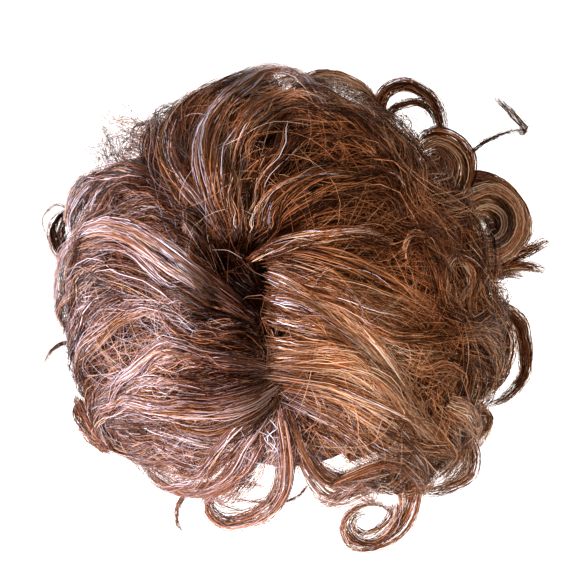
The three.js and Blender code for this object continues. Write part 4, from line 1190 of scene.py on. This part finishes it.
def strand_arrays(batch):
    """Fine bands along strands, each turned about its own line."""
    points, up, radius, tone, along = batch
    count, rows = points.shape[:2]
    tangent = unit(np.gradient(points, axis=1))
    side = unit(np.cross(tangent, up))
    top = np.cross(side, tangent)
    roll = rng_for(11, count, rows).uniform(-STRAND_ROLL, STRAND_ROLL, (count, 1, 1))
    half = (side * np.cos(roll) + top * np.sin(roll)) * radius[:, :, None]
    vertices = np.stack([points - half, points + half], axis=2).reshape(-1, 3)
    index = np.arange(2 * count * rows).reshape(count, rows, 2)
    near, far = index[:, :-1], index[:, 1:]
    quads = np.stack([near[..., 0], near[..., 1], far[..., 1], far[..., 0]], axis=-1).reshape(-1, 4)
    shade = tone_place(points, tone)[:, :, None] + UV_WIDTH * np.arange(2)
    uv = np.stack(np.broadcast_arrays(shade, along[:, :, None]), axis=-1).reshape(-1, 2)
    return vertices, quads, np.zeros((0, 3), int), uv


def fill_mesh(name, vertices, quads, triangles, uv, looks):
    mesh = bpy.data.meshes.new(name)
    loops = np.concatenate([quads.ravel(), triangles.ravel()]).astype(np.int32)
    starts = np.concatenate([4 * np.arange(len(quads)), 4 * len(quads) + 3 * np.arange(len(triangles))])
    mesh.vertices.add(len(vertices))
    mesh.vertices.foreach_set("co", (vertices * MM).astype(np.float32).ravel())
    mesh.loops.add(len(loops))
    mesh.loops.foreach_set("vertex_index", loops)
    mesh.polygons.add(len(quads) + len(triangles))
    mesh.polygons.foreach_set("loop_start", starts.astype(np.int32))
    mesh.update(calc_edges=True)
    layer = mesh.uv_layers.new(name="OFBake")
    layer.data.foreach_set("uv", uv[loops].astype(np.float32).ravel())
    mesh.polygons.foreach_set("use_smooth", np.ones(len(mesh.polygons), bool))
    mesh.polygons.foreach_set("material_index", looks.astype(np.int32))
    mesh.validate()
    return mesh


def place_mesh(mesh, materials, node):
    piece = bpy.data.objects.new(mesh.name, mesh)
    bpy.context.scene.collection.objects.link(piece)
    for material in materials:
        mesh.materials.append(material)
    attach(piece, "root")
    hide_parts(node)


def closed_loft(loops, tones):
    """Vertices, quads, end triangles and uv of a closed body through matching loops."""
    rows, sides = loops.shape[:2]
    vertices = np.concatenate([loops.reshape(-1, 3), loops[0].mean(0)[None], loops[-1].mean(0)[None]])
    index = np.arange(rows * sides).reshape(rows, sides)
    beside = np.roll(index, -1, axis=1)
    quads = np.stack([index[:-1], beside[:-1], beside[1:], index[1:]], axis=-1).reshape(-1, 4)
    first, last = rows * sides, rows * sides + 1
    head = np.stack([np.full(sides, first), beside[0], index[0]], axis=-1)
    tail = np.stack([np.full(sides, last), index[-1], beside[-1]], axis=-1)
    triangles = np.concatenate([head, tail])
    shade = WARM_SHARE * np.concatenate([np.tile(tones, rows), [tones.mean()] * 2])
    depth = np.concatenate([np.repeat(np.linspace(0.3, 1, rows), sides), [0.3, 1.0]])
    return vertices, quads, triangles, np.stack([shade, depth], axis=1)


def core_tones(ridge):
    """Tones round a core: painted shade, lighter on its raised ridges outside as painted light, and darkest
    inside.
    """
    outside = CORE_TONE + CORE_RIDGE_LIGHT * ridge
    return np.clip(np.concatenate([outside, np.full(len(ridge), CORE_INSIDE_SHADE)]), *CORE_TONE_LIMITS)


def core_of_lock(order):
    """The dense hair under a top lock's strands."""
    row, following = LINE_ROWS[order], LINE_ROWS[(order + 1) % len(LINE_ROWS)]
    rng = rng_for(7, order)
    across = np.linspace(0.01, 0.99, CORE_SIDES)
    ridge = rng.normal(0, CORE_RIDGE, CORE_SIDES)
    loops = []
    reach = CORE_REACH.get(row[0], 1.0)
    for share in np.linspace(0.02, reach, CORE_SECTIONS):
        a = line_at(row[1:5], np.array([share * line_reach(row)]))[0]
        b = line_at(following[1:5], np.array([share * line_reach(following)]))[0]
        plan = a * (1 - across[:, None]) + b * across[:, None]
        surface = surface_height(plan[:, 0], plan[:, 1])
        plan = plan * (1 - CORE_INSET * smoothstep(share / 0.8))
        floor = floor_height(plan[:, 0], plan[:, 1])
        top = np.maximum(surface - CORE_DEPTH + ridge, floor + CORE_GAP)
        inset = 1 - 0.12 * smoothstep((np.hypot(plan[:, 0], plan[:, 1]) / HAIR_HALF_WIDTH - 0.55) / 0.45)
        under = plan * inset[:, None]
        below = floor_height(under[:, 0], under[:, 1]) - 0.2
        loops.append(np.vstack([np.column_stack([plan, top]), np.column_stack([under, below])[::-1]]))
    hang = np.array(loops[-1])
    for drop in CORE_DROPS:
        level = hang.copy()
        outer, inner = level[:CORE_SIDES], level[CORE_SIDES:]
        outer[:, :2] *= 1 - CORE_TUCK * drop
        outer[:, 2] -= row[5] * drop * CORE_HANG * (reach == 1.0)
        inner[:, 2] = np.minimum(inner[:, 2], outer[::-1, 2] - 0.5)
        loops.append(level)
    return closed_loft(np.array(loops), core_tones(ridge))


def core_of_under(order):
    """The dense hair inside an under lock's ringlets."""
    end = UNDER_SIDE_END if order in (0, UNDER_COUNT - 1) else UNDER_CORE_END
    ridge = rng_for(8, order).normal(0, CORE_RIDGE, UNDER_CORE_SIDES)
    across = np.linspace(-0.49, 0.49, UNDER_CORE_SIDES)
    angle = UNDER_FIRST_ANGLE + UNDER_PITCH * (order + 0.5 + across)
    loops = []
    for share, thick in UNDER_CORE_SECTIONS:
        height = UNDER_ROOT + (end - UNDER_ROOT) * share
        outer = under_place(angle, thick + ridge * smoothstep(share / 0.3), height)
        inner = under_place(angle[::-1], 0.0, height)
        loops.append(np.vstack([outer, inner]))
    return closed_loft(np.array(loops), core_tones(ridge))


def join_arrays(parts):
    """One set of arrays from many, with the material number of each quad and then of each triangle."""
    vertices, quads, triangles, uvs, quad_looks, triangle_looks = [], [], [], [], [], []
    offset = 0
    for points, faces, caps, uv, look in parts:
        vertices.append(points)
        quads.append(faces + offset)
        triangles.append(caps + offset)
        uvs.append(uv)
        quad_looks.append(np.full(len(faces), look))
        triangle_looks.append(np.full(len(caps), look))
        offset += len(points)
    joined = [np.concatenate(group) for group in (vertices, quads, triangles, uvs)]
    return (*joined, np.concatenate(quad_looks + triangle_looks))


# Materials

def ramp_node(nodes, stops):
    ramp = nodes.new("ShaderNodeValToRGB")
    elements = ramp.color_ramp.elements
    while len(elements) < len(stops):
        elements.new(0.5)
    for element, (place, colour) in zip(elements, stops):
        element.position = place
        element.color = (*colour, 1.0)
    return ramp


def hair_material(name, roughness, gloss):
    material = bpy.data.materials.new(name)
    material.use_nodes = True
    nodes, links = material.node_tree.nodes, material.node_tree.links
    shader = nodes["Principled BSDF"]
    place = nodes.new("ShaderNodeUVMap")
    place.uv_map = "OFBake"
    split = nodes.new("ShaderNodeSeparateXYZ")
    tone = ramp_node(nodes, TONE_STOPS)
    root = ramp_node(nodes, ROOT_STOPS)
    shade = nodes.new("ShaderNodeMix")
    shade.data_type = "RGBA"
    shade.blend_type = "MULTIPLY"
    shade.inputs["Factor"].default_value = 1.0
    links.new(place.outputs["UV"], split.inputs["Vector"])
    links.new(split.outputs["X"], tone.inputs["Fac"])
    links.new(split.outputs["Y"], root.inputs["Fac"])
    links.new(tone.outputs["Color"], shade.inputs["A"])
    links.new(root.outputs["Color"], shade.inputs["B"])
    links.new(shade.outputs["Result"], shader.inputs["Base Color"])
    shader.inputs["Roughness"].default_value = roughness
    shader.inputs["Specular IOR Level"].default_value = gloss
    shader.inputs["Specular Tint"].default_value = GLOSS_TINT
    return material


def net_material():
    material = bpy.data.materials.new("cap_net")
    material.use_nodes = True
    nodes, links = material.node_tree.nodes, material.node_tree.links
    shader = nodes["Principled BSDF"]
    place = nodes.new("ShaderNodeTexCoord")
    cells = nodes.new("ShaderNodeTexVoronoi")
    cells.feature = "DISTANCE_TO_EDGE"
    cells.inputs["Scale"].default_value = NET_CELLS
    colour = ramp_node(nodes, NET_STOPS)
    bump = nodes.new("ShaderNodeBump")
    bump.inputs["Strength"].default_value = NET_BUMP
    bump.inputs["Distance"].default_value = NET_DEPTH
    links.new(place.outputs["Object"], cells.inputs["Vector"])
    links.new(cells.outputs["Distance"], colour.inputs["Fac"])
    links.new(cells.outputs["Distance"], bump.inputs["Height"])
    links.new(colour.outputs["Color"], shader.inputs["Base Color"])
    links.new(bump.outputs["Normal"], shader.inputs["Normal"])
    shader.inputs["Roughness"].default_value = NET_ROUGHNESS
    shader.inputs["Specular IOR Level"].default_value = NET_GLOSS
    return material


# The cap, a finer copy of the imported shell

def cap_edge(angle):
    turn = np.abs((angle + 180) % 360 - 180)
    after = np.clip(np.searchsorted(CAP_EDGE_ANGLES, turn), 1, len(CAP_EDGE_ANGLES) - 1)
    angles, heights = np.array(CAP_EDGE_ANGLES), np.array(CAP_EDGE_HEIGHTS)
    part = smoothstep((turn - angles[after - 1]) / (angles[after] - angles[after - 1]))
    return heights[after - 1] * (1 - part) + heights[after] * part


def cap_ring(share, grow):
    angle = 360 * np.arange(CAP_SPOKES) / CAP_SPOKES
    slope = np.arccos((cap_edge(angle) + CAP_DEPTH) / CAP_DEPTH) * share
    turn = np.radians(angle)
    return np.stack([
        (CAP_HALF_WIDTH + grow) * np.sin(slope) * np.sin(turn),
        -(CAP_HALF_LENGTH + grow) * np.sin(slope) * np.cos(turn),
        (CAP_DEPTH + grow) * np.cos(slope) - CAP_DEPTH,
    ], axis=1)


def cap_arrays():
    shares = np.linspace(0.04, 1, CAP_RINGS)
    outer = [cap_ring(share, CAP_WALL) for share in shares]
    inner = [cap_ring(share, 0.0) for share in shares[::-1]]
    return closed_loft(np.array(outer + inner), np.full(CAP_SPOKES, CAP_TONE))


# Build the pieces

SLOTS = {row["node"]: row["material_slot"] for row in frame["record"]["subparts"]}
NODES = [name for name in SLOTS if name != "cap"]
HAIR_SLOTS = sorted(slot for slot in set(SLOTS.values()) if slot != "cap_net")
STRAND_MATERIALS = {slot: hair_material(slot, STRAND_ROUGHNESS, STRAND_GLOSS) for slot in HAIR_SLOTS}
CORE_MATERIALS = {slot: hair_material(f"{slot}_core", CORE_ROUGHNESS, CORE_GLOSS) for slot in HAIR_SLOTS}

pieces = {name: Hair() for name in NODES}
add_base_hair(pieces)
for order in range(UNDER_COUNT):
    add_under_hair(pieces[under_name(order)], order)
add_surface_locks(pieces)
add_rim_tails(pieces)
add_rim_curls(pieces)
add_strays(pieces)
add_frizz(pieces)
add_tufts(pieces)

cores = {row[0]: core_of_lock(order) for order, row in enumerate(LINE_ROWS)}
cores.update({under_name(order): core_of_under(order) for order in range(UNDER_COUNT)})
for name in NODES:
    parts = [(*strand_arrays(batch), 0) for batch in pieces[name].batches]
    if name in cores:
        parts.append((*cores[name], 1))
    arrays = join_arrays(parts)
    materials = [STRAND_MATERIALS[SLOTS[name]], CORE_MATERIALS[SLOTS[name]]]
    place_mesh(fill_mesh(f"{name}_hair", *arrays), materials, name)
place_mesh(fill_mesh("cap_shell", *join_arrays([(*cap_arrays(), 0)])), [net_material()], "cap")


# Floor, light and camera

def add_floor():
    bpy.ops.mesh.primitive_plane_add(size=FLOOR_SIDE, location=(0, 0, FLOOR_HEIGHT))
    floor = bpy.context.object
    floor.name = "floor"
    material = bpy.data.materials.new("floor")
    material.use_nodes = True
    shader = material.node_tree.nodes["Principled BSDF"]
    shader.inputs["Base Color"].default_value = FLOOR_COLOUR
    shader.inputs["Roughness"].default_value = FLOOR_ROUGHNESS
    floor.data.materials.append(material)


def add_area(name, place, size, power, colour):
    light = bpy.data.lights.new(name, "AREA")
    light.size = size
    light.energy = power
    light.color = colour
    lamp = bpy.data.objects.new(name, light)
    lamp.location = place
    bpy.context.scene.collection.objects.link(lamp)
    aim = -np.array(place)
    tilt = math.acos(-aim[2] / np.linalg.norm(aim))
    lamp.rotation_euler = (tilt, 0, math.atan2(aim[1], aim[0]) - math.pi / 2)


def add_world():
    world = bpy.data.worlds.new("studio")
    world.use_nodes = True
    background = world.node_tree.nodes["Background"]
    background.inputs["Color"].default_value = WORLD_COLOUR
    background.inputs["Strength"].default_value = WORLD_STRENGTH
    bpy.context.scene.world = world


def add_camera():
    data = bpy.data.cameras.new("camera")
    data.sensor_width = SENSOR_WIDTH
    width = PHOTO_SIDE * RIM_MM_PER_PIXEL
    data.lens = SENSOR_WIDTH * (CAMERA_HEIGHT - RIM_HEIGHT) / width
    camera = bpy.data.objects.new("camera", data)
    camera.location = (CAMERA_X * MM, CAMERA_Y * MM, CAMERA_HEIGHT * MM)
    bpy.context.scene.collection.objects.link(camera)
    bpy.context.scene.camera = camera


add_floor()
for row in LIGHT_ROWS:
    add_area(*row)
add_world()
add_camera()
bpy.context.scene.view_settings.view_transform = "Standard"
